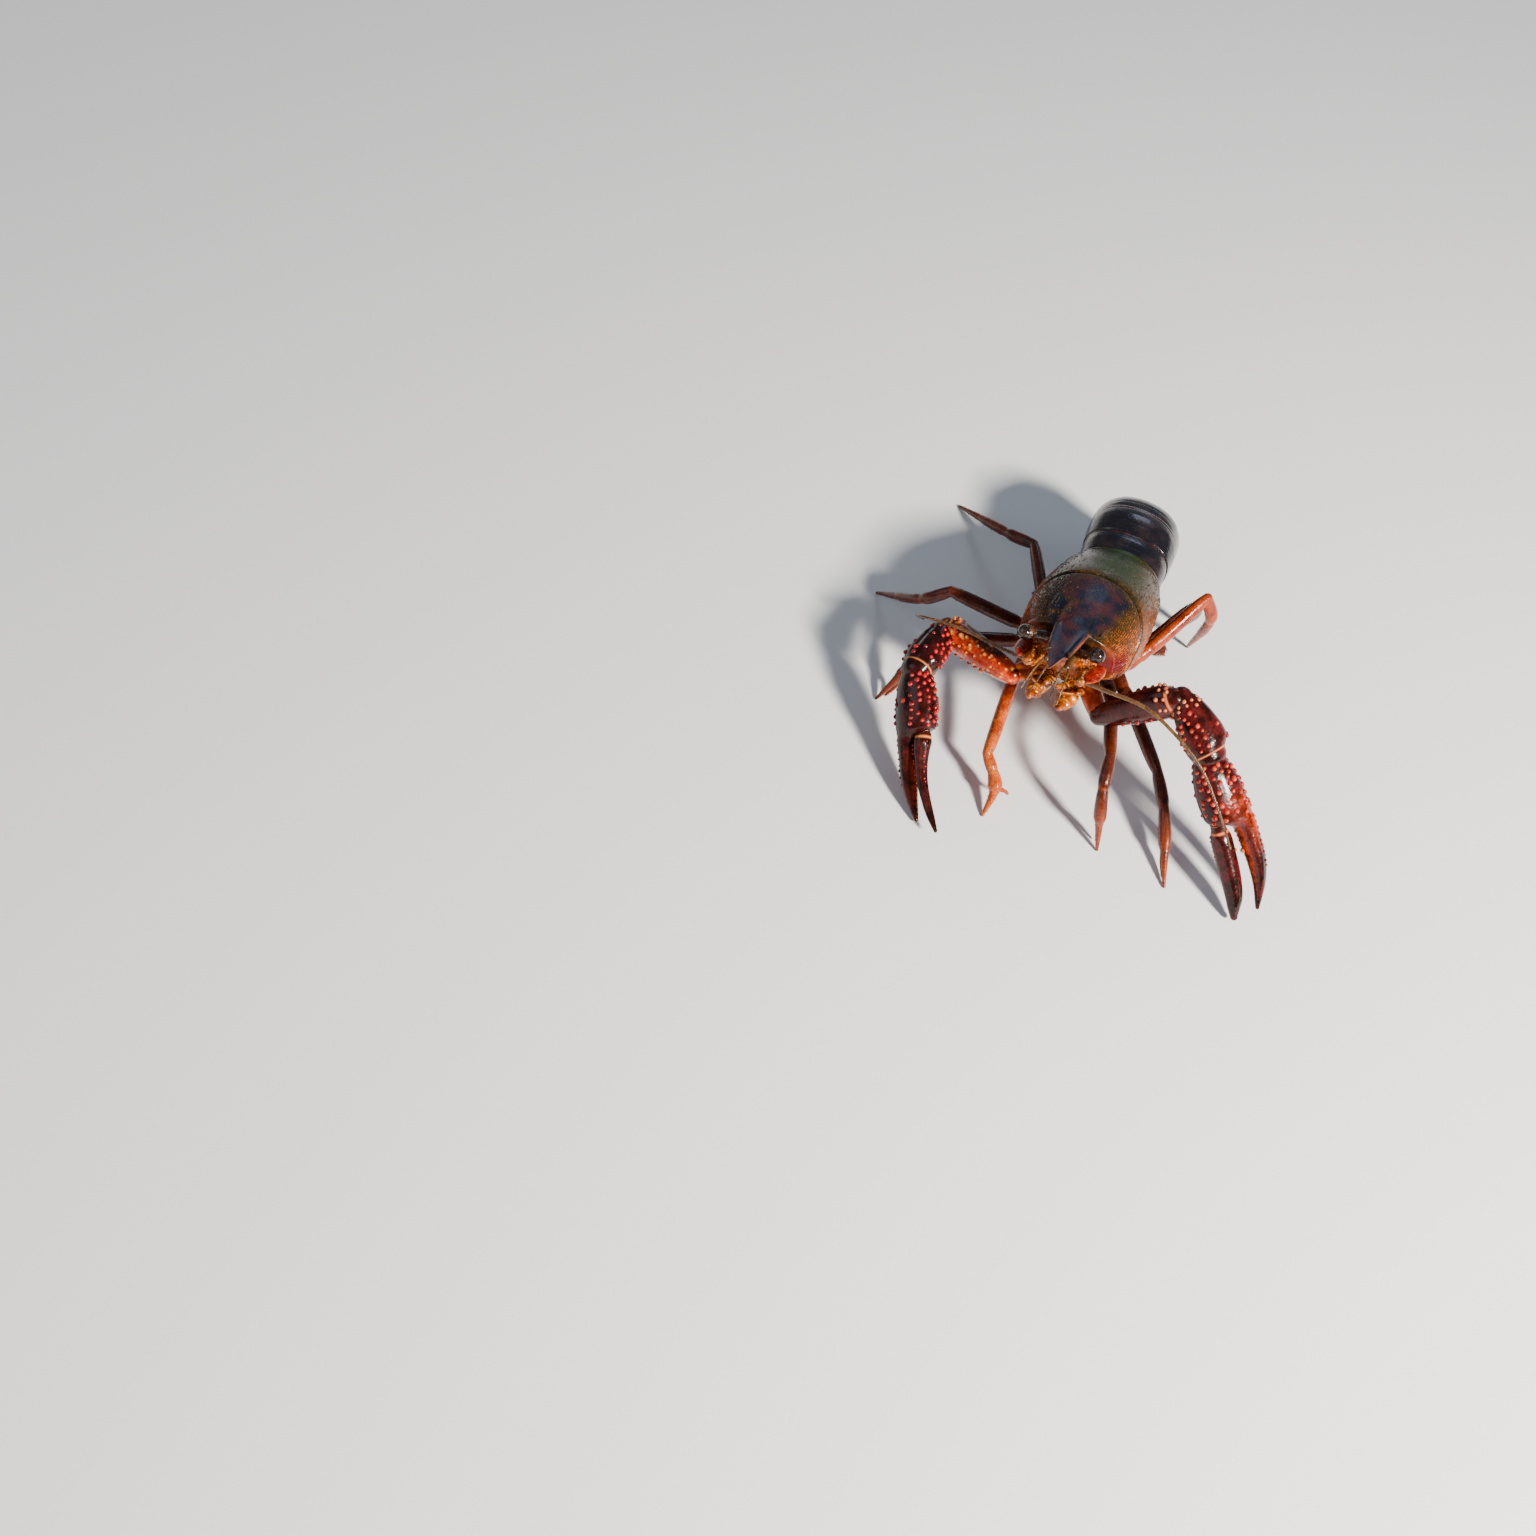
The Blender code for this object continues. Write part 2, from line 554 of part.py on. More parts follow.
def carapace_place(share, angle, grow=0.0):
    """A place on the carapace: share runs from rear to front, angle from the top round."""
    lowness = 0.5 - 0.5 * math.cos(min(abs(angle), math.pi))
    groove = GROOVE_TOP + (GROOVE_SIDE - GROOVE_TOP) * min(1.0, 1.6 * lowness)
    front = CARAPACE_FRONT + (CHEEK_FRONT - CARAPACE_FRONT) * min(1.0, 1.3 * lowness)
    if share < 0.5:
        forward = groove * share / 0.5
    else:
        forward = groove + (front - groove) * (share - 0.5) / 0.5
    top = smooth(CARAPACE_TOP, forward)
    edge = smooth(CARAPACE_EDGE, forward)
    half_width = smooth(CARAPACE_HALF_WIDTH, forward) + grow
    middle = edge + 0.42 * (top - edge)
    along = math.cos(angle)
    out = soft_power(math.sin(angle), 0.92) * half_width
    if along > 0.0:
        up = middle + abs(along) ** 0.9 * (top + grow - middle)
    else:
        up = middle - abs(along) ** 0.55 * (middle - edge + grow)
    return forward, out, up


def groove_dent(share, angle):
    """How far the cervical groove and the line behind it sink into the shell."""
    fade = max(0.0, min(1.0, (2.2 - abs(angle)) / 0.5))
    if abs(share - 0.5) < 0.001:
        return GROOVE_DEPTH * fade
    if share < 0.46 and abs(angle) < 0.01:
        return 0.4 * GROOVE_DEPTH
    return 0.0


def ring_angles(count):
    """Even turns round from the top, those of the second half as minus turns."""
    angles = [2.0 * math.pi * step / count for step in range(count)]
    return [angle - 2.0 * math.pi if angle > math.pi else angle for angle in angles]


def carapace_ring(share, grow, sides):
    """One ring of the carapace, pinched at its grooves."""
    ring = []
    for angle in ring_angles(sides):
        forward, out, up = carapace_place(share, angle, grow)
        keep = 1.0
        if not grow:
            keep = 1.0 - groove_dent(share, angle) / 10.0
            if share == REAR_BAND_SHARE:
                keep = REAR_BAND_PINCH
        if grow and share == 0.0:
            forward -= grow
        if grow and share == 1.0:
            forward += grow
        up = CARAPACE_CORE_HEIGHT + (up - CARAPACE_CORE_HEIGHT) * keep
        ring.append(body_to_floor(forward, out * keep, up))
    return ring


def carapace_rings(grow=0.0, sides=CARAPACE_SIDES):
    """Rings of the carapace, those at the groove set close together; grown, it is a plainer cutter."""
    shares = CARAPACE_CUTTER_SHARES if grow else CARAPACE_SHARES
    rings = [carapace_ring(share, grow, sides) for share in shares]
    lip = []
    for angle in ring_angles(sides):
        forward, out, up = carapace_place(1.0, angle, grow)
        lip_up = FRONT_LIP_HEIGHT + (up - FRONT_LIP_HEIGHT) * FRONT_LIP_SHRINK
        lip.append(body_to_floor(forward + FRONT_LIP + grow, out * FRONT_LIP_SHRINK, lip_up))
    return rings + [lip]


def rostrum_rings():
    """The pointed snout with its raised rims and hollow middle."""
    rings = []
    for forward in ROSTRUM_PLACES:
        half = smooth(ROSTRUM_HALF_WIDTH, forward)
        top = smooth(ROSTRUM_TOP, forward)
        thick = smooth(ROSTRUM_THICKNESS, forward)
        rim = min(ROSTRUM_RIM, 0.25 * half)
        right_half = (
            (half, top - 0.35 * thick), (0.96 * half, top + rim), (0.70 * half, top + 0.5 * rim),
        )
        under = ((-0.5 * half, top - thick), (0.0, top - 1.15 * thick), (0.5 * half, top - thick))
        left_half = tuple((-out, up) for out, up in reversed(right_half))
        profile = right_half + ((0.0, top - rim),) + left_half + under
        rings.append([body_to_floor(forward, out, up) for out, up in profile])
    return rings


def under_rings():
    """The underside: breast plate between the legs, and the face below the eyes."""
    rings = []
    for forward in UNDER_PLACES:
        bottom = smooth(UNDER_BOTTOM, forward)
        top = smooth(UNDER_TOP, forward)
        half = smooth(UNDER_HALF_WIDTH, forward)
        ring = []
        for step in range(UNDER_SIDES):
            angle = 2.0 * math.pi * step / UNDER_SIDES
            across = soft_power(math.cos(angle), 0.7)
            along = soft_power(math.sin(angle), 0.7)
            up = 0.5 * (top + bottom) + along * 0.5 * (top - bottom)
            ring.append(body_to_floor(forward, across * half, up))
        rings.append(ring)
    return rings


def tail_hinges():
    """Hinges of the abdomen as (forward, up) on the body."""
    hinges = [Vector((0.0, TAIL_HINGE_HEIGHT))]
    for length, bend, *_ in TAIL_RINGS:
        turn = math.radians(bend)
        hinges.append(hinges[-1] + Vector((-math.cos(turn), -math.sin(turn))) * length)
    return hinges


def tail_section(half_width, height, depth, belly):
    """Outline of one ring: the arched plate, its side lobes and the flat belly."""
    outline = []
    for turn in TAIL_ARCH_TURNS:
        angle = math.radians(turn)
        outline.append((math.cos(angle) ** 0.85 * half_width, math.sin(angle) ** 0.95 * height))
    lobe_out = 0.90 * half_width
    outline.append((half_width, -0.25 * depth))
    outline.append((0.96 * half_width, -0.65 * depth))
    outline.append((lobe_out, -depth))
    outline.append((lobe_out - LOBE_THICKNESS, -0.96 * depth))
    outline.append((lobe_out - LOBE_THICKNESS - GAP, -0.9 * belly))
    outline.append((0.40 * half_width, -belly))
    mirror = [(-out, up) for out, up in reversed(outline[1:])]
    return outline + mirror


def tail_ring_rings(index):
    """Rings of one tergite between the mitre planes it shares with its neighbours."""
    length, bend, half_width, height, depth = TAIL_RINGS[index]
    bends = [0.0] + [math.radians(row[1]) for row in TAIL_RINGS]
    front_turn = (0.5 if index else 1.0) * (bends[index + 1] - bends[index])
    rear_turn = 0.5 * (bends[min(index + 2, len(TAIL_RINGS))] - bends[index + 1])
    origin = tail_hinges()[index]
    turn = bends[index + 1]
    back = Vector((-math.cos(turn), -math.sin(turn)))
    dorsal = Vector((-math.sin(turn), math.cos(turn)))
    swell = 0.04 + 0.20 * max(0.0, front_turn + rear_turn)
    rings = []
    for share in TAIL_SHARES:
        lobe = math.sin(math.pi * (0.06 + 0.88 * share)) ** 0.7
        grown = min(1.0, share * 1.6)
        rise = 0.94 + TAIL_PLATE_RISE * grown + swell * math.sin(math.pi * share)
        if share > 0.9:
            rise += TAIL_REAR_LIP
        wide = half_width * (0.965 + 0.035 * grown)
        ring_depth = TAIL_BELLY_DEPTH + (depth - TAIL_BELLY_DEPTH) * lobe
        ring = []
        for out, up in tail_section(wide, height * rise, ring_depth, TAIL_BELLY_DEPTH):
            front = -up * math.tan(front_turn) + 0.5 * GAP
            rear = length + up * math.tan(rear_turn) - 0.5 * GAP
            place = origin + back * (front + (rear - front) * share) + dorsal * up
            ring.append(body_to_floor(place.x, out + TAIL_SWAY * max(0.0, -place.x), place.y))
        rings.append(ring)
    return rings


def fan_blade(name, root, swing, length, half_width):
    """A flat rounded blade of the tail fan that lies on the floor."""
    heading = Vector((math.sin(swing), -math.cos(swing), 0.0))
    side = Vector((0.0, 0.0, 1.0)).cross(heading)
    rings = []
    for share, wide in FAN_STATIONS:
        centre = root + heading * (share * length)
        thick = FAN_THICKNESS * (1.0 - 0.35 * share)
        half = wide * half_width
        rise = Vector((0.0, 0.0, thick))
        rings.append([centre + side * (out * half) + rise * up for out, up in FAN_PROFILE])
    return solid(name, rings, parts)


def leg_shapes(side, number):
    """Upper and lower length of one walking leg."""
    bend, knee, ankle, foot = LEGS[(side, number)]
    forward, out, up = HIPS[number]
    hip = body_to_floor(forward, sign_of(side) * (out - HIP_INSET), up)
    sweep = Vector((foot[0] - bend[0], foot[1] - bend[1], 0.0))
    across = sweep.cross(Vector((0.0, 0.0, 1.0)))
    upper = Limb((hip, bend, knee), across, LEG_UPPER_SIZES, LEG_SIDES)
    sizes = PINCER_LEG_SIZES if number <= LAST_PINCER_PAIR else LEG_LOWER_SIZES
    if (side, number) == OPEN_PINCER_LEG:
        sizes = OPEN_PINCER_LEG_SIZES
    tip = (foot[0], foot[1], GAP)
    lower = Limb((knee, ankle, tip), across, sizes, LEG_SIDES, ends=("round", "foot"))
    return upper, lower


def pincer_finger(lower, is_open):
    """The small moving finger of a pincer leg, closed above the fixed one or held open beside it."""
    root_place, root_reach = OPEN_PINCER_ROOT if is_open else PINCER_ROOT
    tip_place, tip_reach = OPEN_PINCER_TIP if is_open else PINCER_TIP
    ahead, side, up = lower.frame(root_place)
    way = -side if is_open else up
    root = lower.centre(root_place) + way * root_reach
    tip = lower.centre(tip_place) + way * tip_reach
    tip.z = max(tip.z, PINCER_LOWEST)
    middle = 0.5 * (root + tip) + way * PINCER_ARCH
    return Limb((root, middle, tip), side, PINCER_SIZES, 6)


def straight(start, end):
    """A straight route with its middle."""
    return start, start.lerp(end, 0.5), end


def arm_shapes(side):
    """The five lengths of a claw arm, from the body out."""
    bend, elbow, wrist, tip = [Vector(point) for point in ARMS[side]]
    forward, out, up = HIPS[1]
    hip = body_to_floor(forward, sign_of(side) * (out - ARM_HIP_INSET), up)
    level = (elbow - bend).cross(Vector((0.0, 0.0, 1.0)))
    across = CLAW_ACROSS[side]
    bow = FIXED_FINGER_OUT[side]
    lean = max(0.0, bow - FIXED_FINGER_OUT["right"])
    palm_shift = (
        (0, 0), (0.22, -0.1 - 0.1 * lean), (0.33, -0.2 - 0.2 * lean), (0.405, -0.4 - 0.4 * lean),
        (0.43, 0.9 - bow), (0.47, -bow),
        (0.58, -1.1 * bow), (0.72, -1.1 * bow), (0.86, -0.85 * bow), (1.0, -0.7),
    )
    start, middle, end = straight(wrist.lerp(tip, FINGER_START), wrist.lerp(tip, FINGER_REACH[side]))
    lift = (tip - wrist).cross(across).normalized() * FINGER_LIFT[side]
    finger_route = (start, middle + lift, end)
    return {
        "ischium": Limb(straight(hip, bend), level, ISCHIUM_SIZES, 10),
        "merus": Limb(straight(bend, elbow), level, MERUS_SIZES, 12),
        "carpus": Limb(straight(elbow, wrist), across, CARPUS_SIZES, 12, shift=CARPUS_OUT[side]),
        "palm": Limb(straight(wrist, tip), across, PALM_SIZES, 14, CLAW_SQUARENESS, shift=palm_shift),
        "finger": Limb(
            finger_route, across, FINGER_SIZES[side], 10, CLAW_SQUARENESS, shift=FINGER_OUT[side]
        ),
    }


def head_shapes(side):
    """Stalk, feeler bases, scale and mouth limb of one side of the head; the stalk runs to its eye."""
    turn = sign_of(side)
    found = {}
    for name, (route, sizes, way, count) in HEAD_LIMBS.items():
        if name == "stalk":
            route = straight(Vector(route[0]), Vector(EYE_PLACES[side]))
        points = [body_to_floor(forward, turn * out, up) for forward, out, up in route]
        across = body_to_floor(way[0], turn * way[1], way[2]) - body_to_floor(0.0, 0.0, 0.0)
        found[name] = Limb(points, across, sizes, count)
    return found


def eye_centre(side):
    """The middle of an eye."""
    forward, out, up = EYE_PLACES[side]
    return body_to_floor(forward, sign_of(side) * out, up)


def eye_ball(name, side, radius, collection):
    """A round eye."""
    shape = bmesh.new()
    bmesh.ops.create_uvsphere(shape, u_segments=12, v_segments=8, radius=radius * METRE)
    bmesh.ops.translate(shape, verts=shape.verts, vec=(eye_centre(side) + STANCE_SHIFT) * METRE)
    mesh = bpy.data.meshes.new(name)
    shape.to_mesh(mesh)
    shape.free()
    return add_object(name, mesh, collection)


def feeler_curve(name, points, radius, tip_radius, collection):
    """A long feeler as a bevelled curve through its route, thinner toward its tip."""
    route = Limb(points, (0.0, 0.0, 1.0), ((0, radius, radius), (1, tip_radius, tip_radius)))
    curve = bpy.data.curves.new(name, "CURVE")
    curve.dimensions = "3D"
    curve.bevel_depth = radius * METRE
    curve.bevel_resolution = 2
    curve.use_fill_caps = True
    line = curve.splines.new("POLY")
    line.points.add(FEELER_POINTS - 1)
    for index in range(FEELER_POINTS):
        share = index / (FEELER_POINTS - 1)
        place = (route.centre(share) + STANCE_SHIFT) * METRE
        line.points[index].co = (*place, 1.0)
        line.points[index].radius = (1.0 - share) + share * tip_radius / radius
    holder = bpy.data.objects.new(name, curve)
    bpy.context.scene.collection.objects.link(holder)
    view = bpy.context.evaluated_depsgraph_get()
    mesh = bpy.data.meshes.new_from_object(holder.evaluated_get(view))
    bpy.data.objects.remove(holder, do_unlink=True)
    shape = bmesh.new()
    shape.from_mesh(mesh)
    bmesh.ops.remove_doubles(shape, verts=shape.verts, dist=0.001 * METRE)
    bmesh.ops.recalc_face_normals(shape, faces=shape.faces)
    shape.to_mesh(mesh)
    shape.free()
    mesh.name = name
    return add_object(name, mesh, collection)


def arm_spines(shapes, draw):
    """Raised tubercles over the claw, wrist and arm of one side."""
    found = {}
    for name, (start, end, steps, lanes, first, sweep, radius, height) in ARM_SPINES.items():
        spines = []
        for step in range(steps):
            for lane in range(lanes):
                move = 0.5 * (lane % 2) + draw.uniform(-SPINE_PLACE_SPREAD, SPINE_PLACE_SPREAD)
                place = min(start + (end - start) * (step + move) / steps, end)
                turn = first + sweep * lane / lanes + draw.uniform(-SPINE_TURN_SPREAD, SPINE_TURN_SPREAD)
                size = draw.uniform(0.8, 1.15)
                spot, outward, ahead = shapes[name].on_surface(place, math.radians(turn))
                spines.append(spine(spot, outward, radius * size, height * size, ahead * SPINE_FORWARD_LEAN))
        found[name] = spines
    return found


def grown_limbs(limbs):
    """Room for limbs, a gap wider all round."""
    return [limb.make("grown", GAP) for limb in limbs]


def build_carapace(hips, heads, material):
    """The shield over head and thorax with its snout, ridges and spines."""
    carapace = solid("carapace", carapace_rings(), parts)
    extras = [solid("rostrum", rostrum_rings())]
    for turn in (1.0, -1.0):
        ridge = [body_to_floor(forward, turn * out, up) for forward, out, up in EYE_RIDGE]
        extras.append(Limb(ridge, (0.0, 0.0, 1.0), EYE_RIDGE_SIZES, 8).make("ridge"))
        for root, aim, radius, height in CARAPACE_SPINES:
            spot = body_to_floor(root[0], turn * root[1], root[2])
            outward = (body_to_floor(aim[0], turn * aim[1], aim[2]) - spot).normalized()
            extras.append(spine(spot, outward, radius, height))
    fuse(carapace, extras)
    openings = grown_limbs(hips)
    for side, head in heads.items():
        openings.append(eye_ball("grown", side, EYE_RADIUS + GAP, cutters))
        openings += grown_limbs([head["stalk"], head["base"], head["scale"], head["antennule"]])
    cut(carapace, openings)
    finish(carapace, material)


def build_underside(hips, heads, material):
    """The breast plate and face, a gap below the carapace."""
    underside = solid("underside", under_rings(), parts)
    openings = grown_limbs(hips)
    openings.append(solid("grown", carapace_rings(2.0 * GAP, CARAPACE_SIDES // 2)))
    for head in heads.values():
        openings += grown_limbs(head.values())
    cut(underside, openings)
    finish(underside, material)


def build_tail(material):
    """Six rings of the abdomen, and the fan laid flat on the floor."""
    for index in range(len(TAIL_RINGS)):
        ring = solid(f"abdomen_{index + 1}", tail_ring_rings(index), parts)
        finish(ring, material, 40.0)
    last = tail_hinges()[-1]
    root = body_to_floor(last.x, TAIL_SWAY * max(0.0, -last.x), last.y)
    root.z = 0.0
    telson_root = root + Vector((0.0, TELSON_SET_BACK, 0.0))
    finish(fan_blade("telson", telson_root, 0.0, TELSON_LENGTH, TELSON_HALF_WIDTH), material)
    for side in ARMS:
        turn = sign_of(side)
        for name, swing, out, ahead, length, half_width in FAN_BLADES:
            start = root + Vector((turn * out, -ahead, 0.0))
            angle = turn * math.radians(swing)
            blade = fan_blade(f"tail_blade_{name}_{side}", start, angle, length, half_width)
            finish(blade, material)


def build_antennule(side, limb, material):
    """The small feeler: a short stem that carries two whips."""
    node = limb.make(f"antennule_{side}", 0.0, parts)
    turn = sign_of(side)
    whips = []
    for out, drop, reach in WHIPS:
        begin = limb.centre(WHIP_ROOT) + Vector((turn * out, 0.0, 0.0))
        middle = begin + Vector((turn * (out + 0.3), -0.5 * reach, 0.1))
        end = begin + Vector((turn * (out + 0.9), -reach, -drop))
        whips.append(Limb((begin, middle, end), (0.0, 0.0, 1.0), WHIP_SIZES, 5).make("whip"))
    fuse(node, whips)
    finish(node, material, 60.0)


def build_head(side, head, ischium, shell, thread, globe):
    """Eye, stalk, feelers and mouth limb of one side."""
    finish(eye_ball(f"eye_{side}", side, EYE_RADIUS, parts), globe, 60.0)
    stalk = head["stalk"].make(f"eyestalk_{side}", 0.0, parts)
    cut(stalk, [eye_ball("grown", side, EYE_RADIUS + GAP, cutters)])
    finish(stalk, shell)
    route = (head["base"].centre(1.0),) + FEELER_ROUTES[side]
    base = head["base"].make(f"antenna_base_{side}", 0.0, parts)
    cut(base, [feeler_curve("grown", route, FEELER_RADIUS + GAP, FEELER_RADIUS, cutters)])
    finish(base, shell)
    finish(feeler_curve(f"antenna_{side}", route, FEELER_RADIUS, FEELER_TIP_RADIUS, parts), thread, 60.0)
    scale = head["scale"].make(f"antenna_scale_{side}", 0.0, parts)
    cut(scale, grown_limbs([head["base"]]))
    finish(scale, shell)
    mouth = head["mouth"].make(f"maxilliped_{side}", 0.0, parts)
    fuse(mouth, [head["palp"].make("palp")])
    cut(mouth, grown_limbs([ischium]))
    finish(mouth, shell)
    build_antennule(side, head["antennule"], thread)


def build_arm(side, arm, second_hip, draw, material):
    """The claw arm, each length cut back from the next one."""
    spines = arm_spines(arm, draw)
    for name, after in zip(ARM_ORDER, ARM_ORDER[1:] + (None,)):
        node = arm[name].make(f"claw_{name}_{side}", 0.0, parts)
        fuse(node, spines.get(name, []))
        neighbours = [arm[after]] if after else []
        if name == "ischium":
            neighbours.append(second_hip)
        cut(node, grown_limbs(neighbours))
        finish(node, material, 40.0)


def build_leg(side, number, upper, lower, material):
    """One walking leg in two lengths, with a small pincer on the first two pairs."""
    node = upper.make(f"leg_{number}_upper_{side}", 0.0, parts)
    cut(node, grown_limbs([lower]))
    finish(node, material, 50.0)
    node = lower.make(f"leg_{number}_lower_{side}", 0.0, parts)
    if number <= LAST_PINCER_PAIR:
        is_open = (side, number) == OPEN_PINCER_LEG
        fuse(node, [pincer_finger(lower, is_open).make("finger")])
    finish(node, material, 50.0)


def build():
    """Builds every node of the animal."""
    clear_scene()
    draw = random.Random(SEED)
    shells = {name: make_material(name) for name in MATERIALS}
    legs = {key: leg_shapes(*key) for key in LEGS}
    arms = {side: arm_shapes(side) for side in ARMS}
    heads = {side: head_shapes(side) for side in ARMS}
    hips = [upper for upper, lower in legs.values()] + [arm["ischium"] for arm in arms.values()]
    build_carapace(hips, heads, shells["carapace_shell"])
    build_underside(hips, heads, shells["underside_shell"])
    build_tail(shells["abdomen_shell"])
    for side, head in heads.items():
        ischium = arms[side]["ischium"]
        build_head(side, head, ischium, shells["mouth_shell"], shells["feeler_shell"], shells["eye_surface"])
    for side, arm in arms.items():
        build_arm(side, arm, legs[(side, 2)][0], draw, shells["claw_shell"])
    for (side, number), (upper, lower) in legs.items():
        build_leg(side, number, upper, lower, shells["leg_shell"])


build()
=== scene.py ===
import bpy
import numpy as np
from mathutils import Matrix


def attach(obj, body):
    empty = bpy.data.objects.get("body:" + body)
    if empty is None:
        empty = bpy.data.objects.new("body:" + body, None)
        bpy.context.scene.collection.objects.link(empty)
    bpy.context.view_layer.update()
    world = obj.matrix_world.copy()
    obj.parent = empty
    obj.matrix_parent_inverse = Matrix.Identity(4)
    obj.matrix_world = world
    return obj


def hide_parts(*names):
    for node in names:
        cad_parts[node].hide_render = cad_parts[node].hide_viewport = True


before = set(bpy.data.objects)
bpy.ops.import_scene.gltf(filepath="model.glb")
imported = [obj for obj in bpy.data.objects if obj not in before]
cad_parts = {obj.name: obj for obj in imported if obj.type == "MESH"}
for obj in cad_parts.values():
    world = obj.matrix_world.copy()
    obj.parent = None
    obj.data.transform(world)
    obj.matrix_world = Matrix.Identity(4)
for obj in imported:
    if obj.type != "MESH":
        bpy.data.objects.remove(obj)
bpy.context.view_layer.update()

# Carapace: the one hard shield over head and thorax, of lime and chitin, cast in one piece when the
# animal moults. A smooth band ends it behind, a deep groove crosses it, and its flanks are granular.
# Sizes are in millimetres throughout; a piece becomes metres when its mesh is made.
METRE = 0.001
BODY_PITCH = np.radians(16.0)
BODY_LEAN = np.radians(-4.2)
BODY_HEIGHT = 11.9
BODY_MIDDLE = 15.0
BODY_OUT = 0.6
STANCE_SHIFT = np.array((-4.17, 2.14, 0.0))
CARAPACE_FRONT = 33.5
CHEEK_FRONT = 29.5
GROOVE_TOP = 17.5
GROOVE_SIDE = 25.5
GROOVE_WIDTH = 0.42
GROOVE_DEPTH, SEAM_DEPTH, CREST_HEIGHT, KEEL_HEIGHT = 0.062, 0.016, 0.030, 0.034
CARAPACE_TOP = ((0, 17.4), (5, 18.4), (12, 19.3), (18, 19.8), (25, 19.0), (30, 17.6), (34, 16.2))
CARAPACE_EDGE = ((0, 4.0), (5, 3.0), (12, 2.4), (20, 2.4), (25, 2.9), (29, 4.8), (34, 8.8))
CARAPACE_HALF_WIDTH = ((0, 9.2), (5, 10.6), (12, 11.4), (18, 11.6), (24, 11.1), (29, 9.8), (34, 7.3))
CARAPACE_CORE_HEIGHT = 9.0
REAR_BAND = 0.045
# The front edge curls in on rings of (step ahead, share of the size), shrunk round a level.
LIP_RINGS = ((0.22, 0.985), (0.42, 0.95), (0.5, 0.86))
LIP_LEVEL = 13.0
GRANULES = 5600
GRANULE_LANES = 30
grit = np.random.default_rng(7)


def smooth_line(stations, at):
    """Values at each place along (place, value...) rows: between two rows a cubic, whose slope at a
    row is the rise over the run between the rows on its two sides."""
    rows = np.array(stations, dtype=float)
    place, value = rows[:, 0], rows[:, 1:]
    here = np.arange(len(rows))
    before, after = np.maximum(here - 1, 0), np.minimum(here + 1, len(rows) - 1)
    slope = (value[after] - value[before]) / (place[after] - place[before])[:, None]
    at = np.clip(np.asarray(at, dtype=float), place[0], place[-1])
    low = np.clip(np.searchsorted(place, at, side="right") - 1, 0, len(rows) - 2)
    span = (place[low + 1] - place[low])[..., None]
    t = (at - place[low])[..., None] / span
    blend = t * t * (3.0 - 2.0 * t)
    lift = t * (1.0 - t) ** 2 * slope[low] * span - t * t * (1.0 - t) * slope[low + 1] * span
    found = value[low] * (1.0 - blend) + value[low + 1] * blend + lift
    return found[..., 0] if found.shape[-1] == 1 else found


def soft_power(value, power):
    """The size of a value raised to a power, with its sign kept."""
    return np.sign(value) * np.abs(value) ** power


def ease(value, low, high):
    """Runs softly from 0 at low to 1 at high: t squared times three minus two t."""
    t = np.clip((value - low) / (high - low), 0.0, 1.0)
    return t * t * (3.0 - 2.0 * t)


def bell(value, middle, width):
    """A bell round a middle: e to the minus square of the distance over the width."""
    return np.exp(-(((value - middle) / width) ** 2))


def unit(way):
    """The same way with length one."""
    return way / np.linalg.norm(way, axis=-1, keepdims=True)


def ring_grid(rows, count, start=0.0):
    """Grids of the rows' places and of even turns all the way round from a start."""
    turns = np.linspace(start, start + 2.0 * np.pi, count, endpoint=False)
    return np.meshgrid(rows, turns, indexing="ij")


def lowness(turn):
    """How low a turn from the top lies, 0 at the top and 1 below: half of one minus its cosine."""
    return 0.5 - 0.5 * np.cos(turn)


def body_to_floor(forward, out, up):
    """Places on the body over the floor: turned about Y by the lean, then about X by the pitch."""
    places = [np.asarray(value, dtype=float) for value in (forward, out, up)]
    forward, out, up = np.broadcast_arrays(*places)
    across = out * np.cos(BODY_LEAN) + up * np.sin(BODY_LEAN)
    raised = up * np.cos(BODY_LEAN) - out * np.sin(BODY_LEAN)
    along = BODY_MIDDLE - forward
    back = along * np.cos(BODY_PITCH) + raised * np.sin(BODY_PITCH)
    height = raised * np.cos(BODY_PITCH) - along * np.sin(BODY_PITCH)
    return np.stack((across + BODY_OUT, back, height + BODY_HEIGHT), axis=-1)


def wrap_skin(grid, **marks):
    """A closed skin over a grid of rings: two triangles to each cell, and at each end a fan to the
    middle of the last ring. A mark is one number at each grid point."""
    rows, count = grid.shape[:2]
    index = np.arange(rows * count).reshape(rows, count)
    low, high = index[:-1], index[1:]
    low_next, high_next = np.roll(low, -1, axis=1), np.roll(high, -1, axis=1)
    cells = [np.stack((low, low_next, high_next), -1), np.stack((low, high_next, high), -1)]
    first, last = rows * count, rows * count + 1
    fans = [
        np.stack((np.roll(index[0], -1), index[0], np.full(count, first)), -1),
        np.stack((index[-1], np.roll(index[-1], -1), np.full(count, last)), -1),
    ]
    faces = np.concatenate([part.reshape(-1, 3) for part in cells + fans])
    points = np.concatenate((grid.reshape(-1, 3), [grid[0].mean(axis=0), grid[-1].mean(axis=0)]))
    flat = {}
    for key, mark in marks.items():
        mark = np.broadcast_to(mark, (rows, count))
        flat[key] = np.concatenate((mark.ravel(), [mark[0].mean(), mark[-1].mean()]))
    return {"points": points, "faces": faces, "marks": flat}


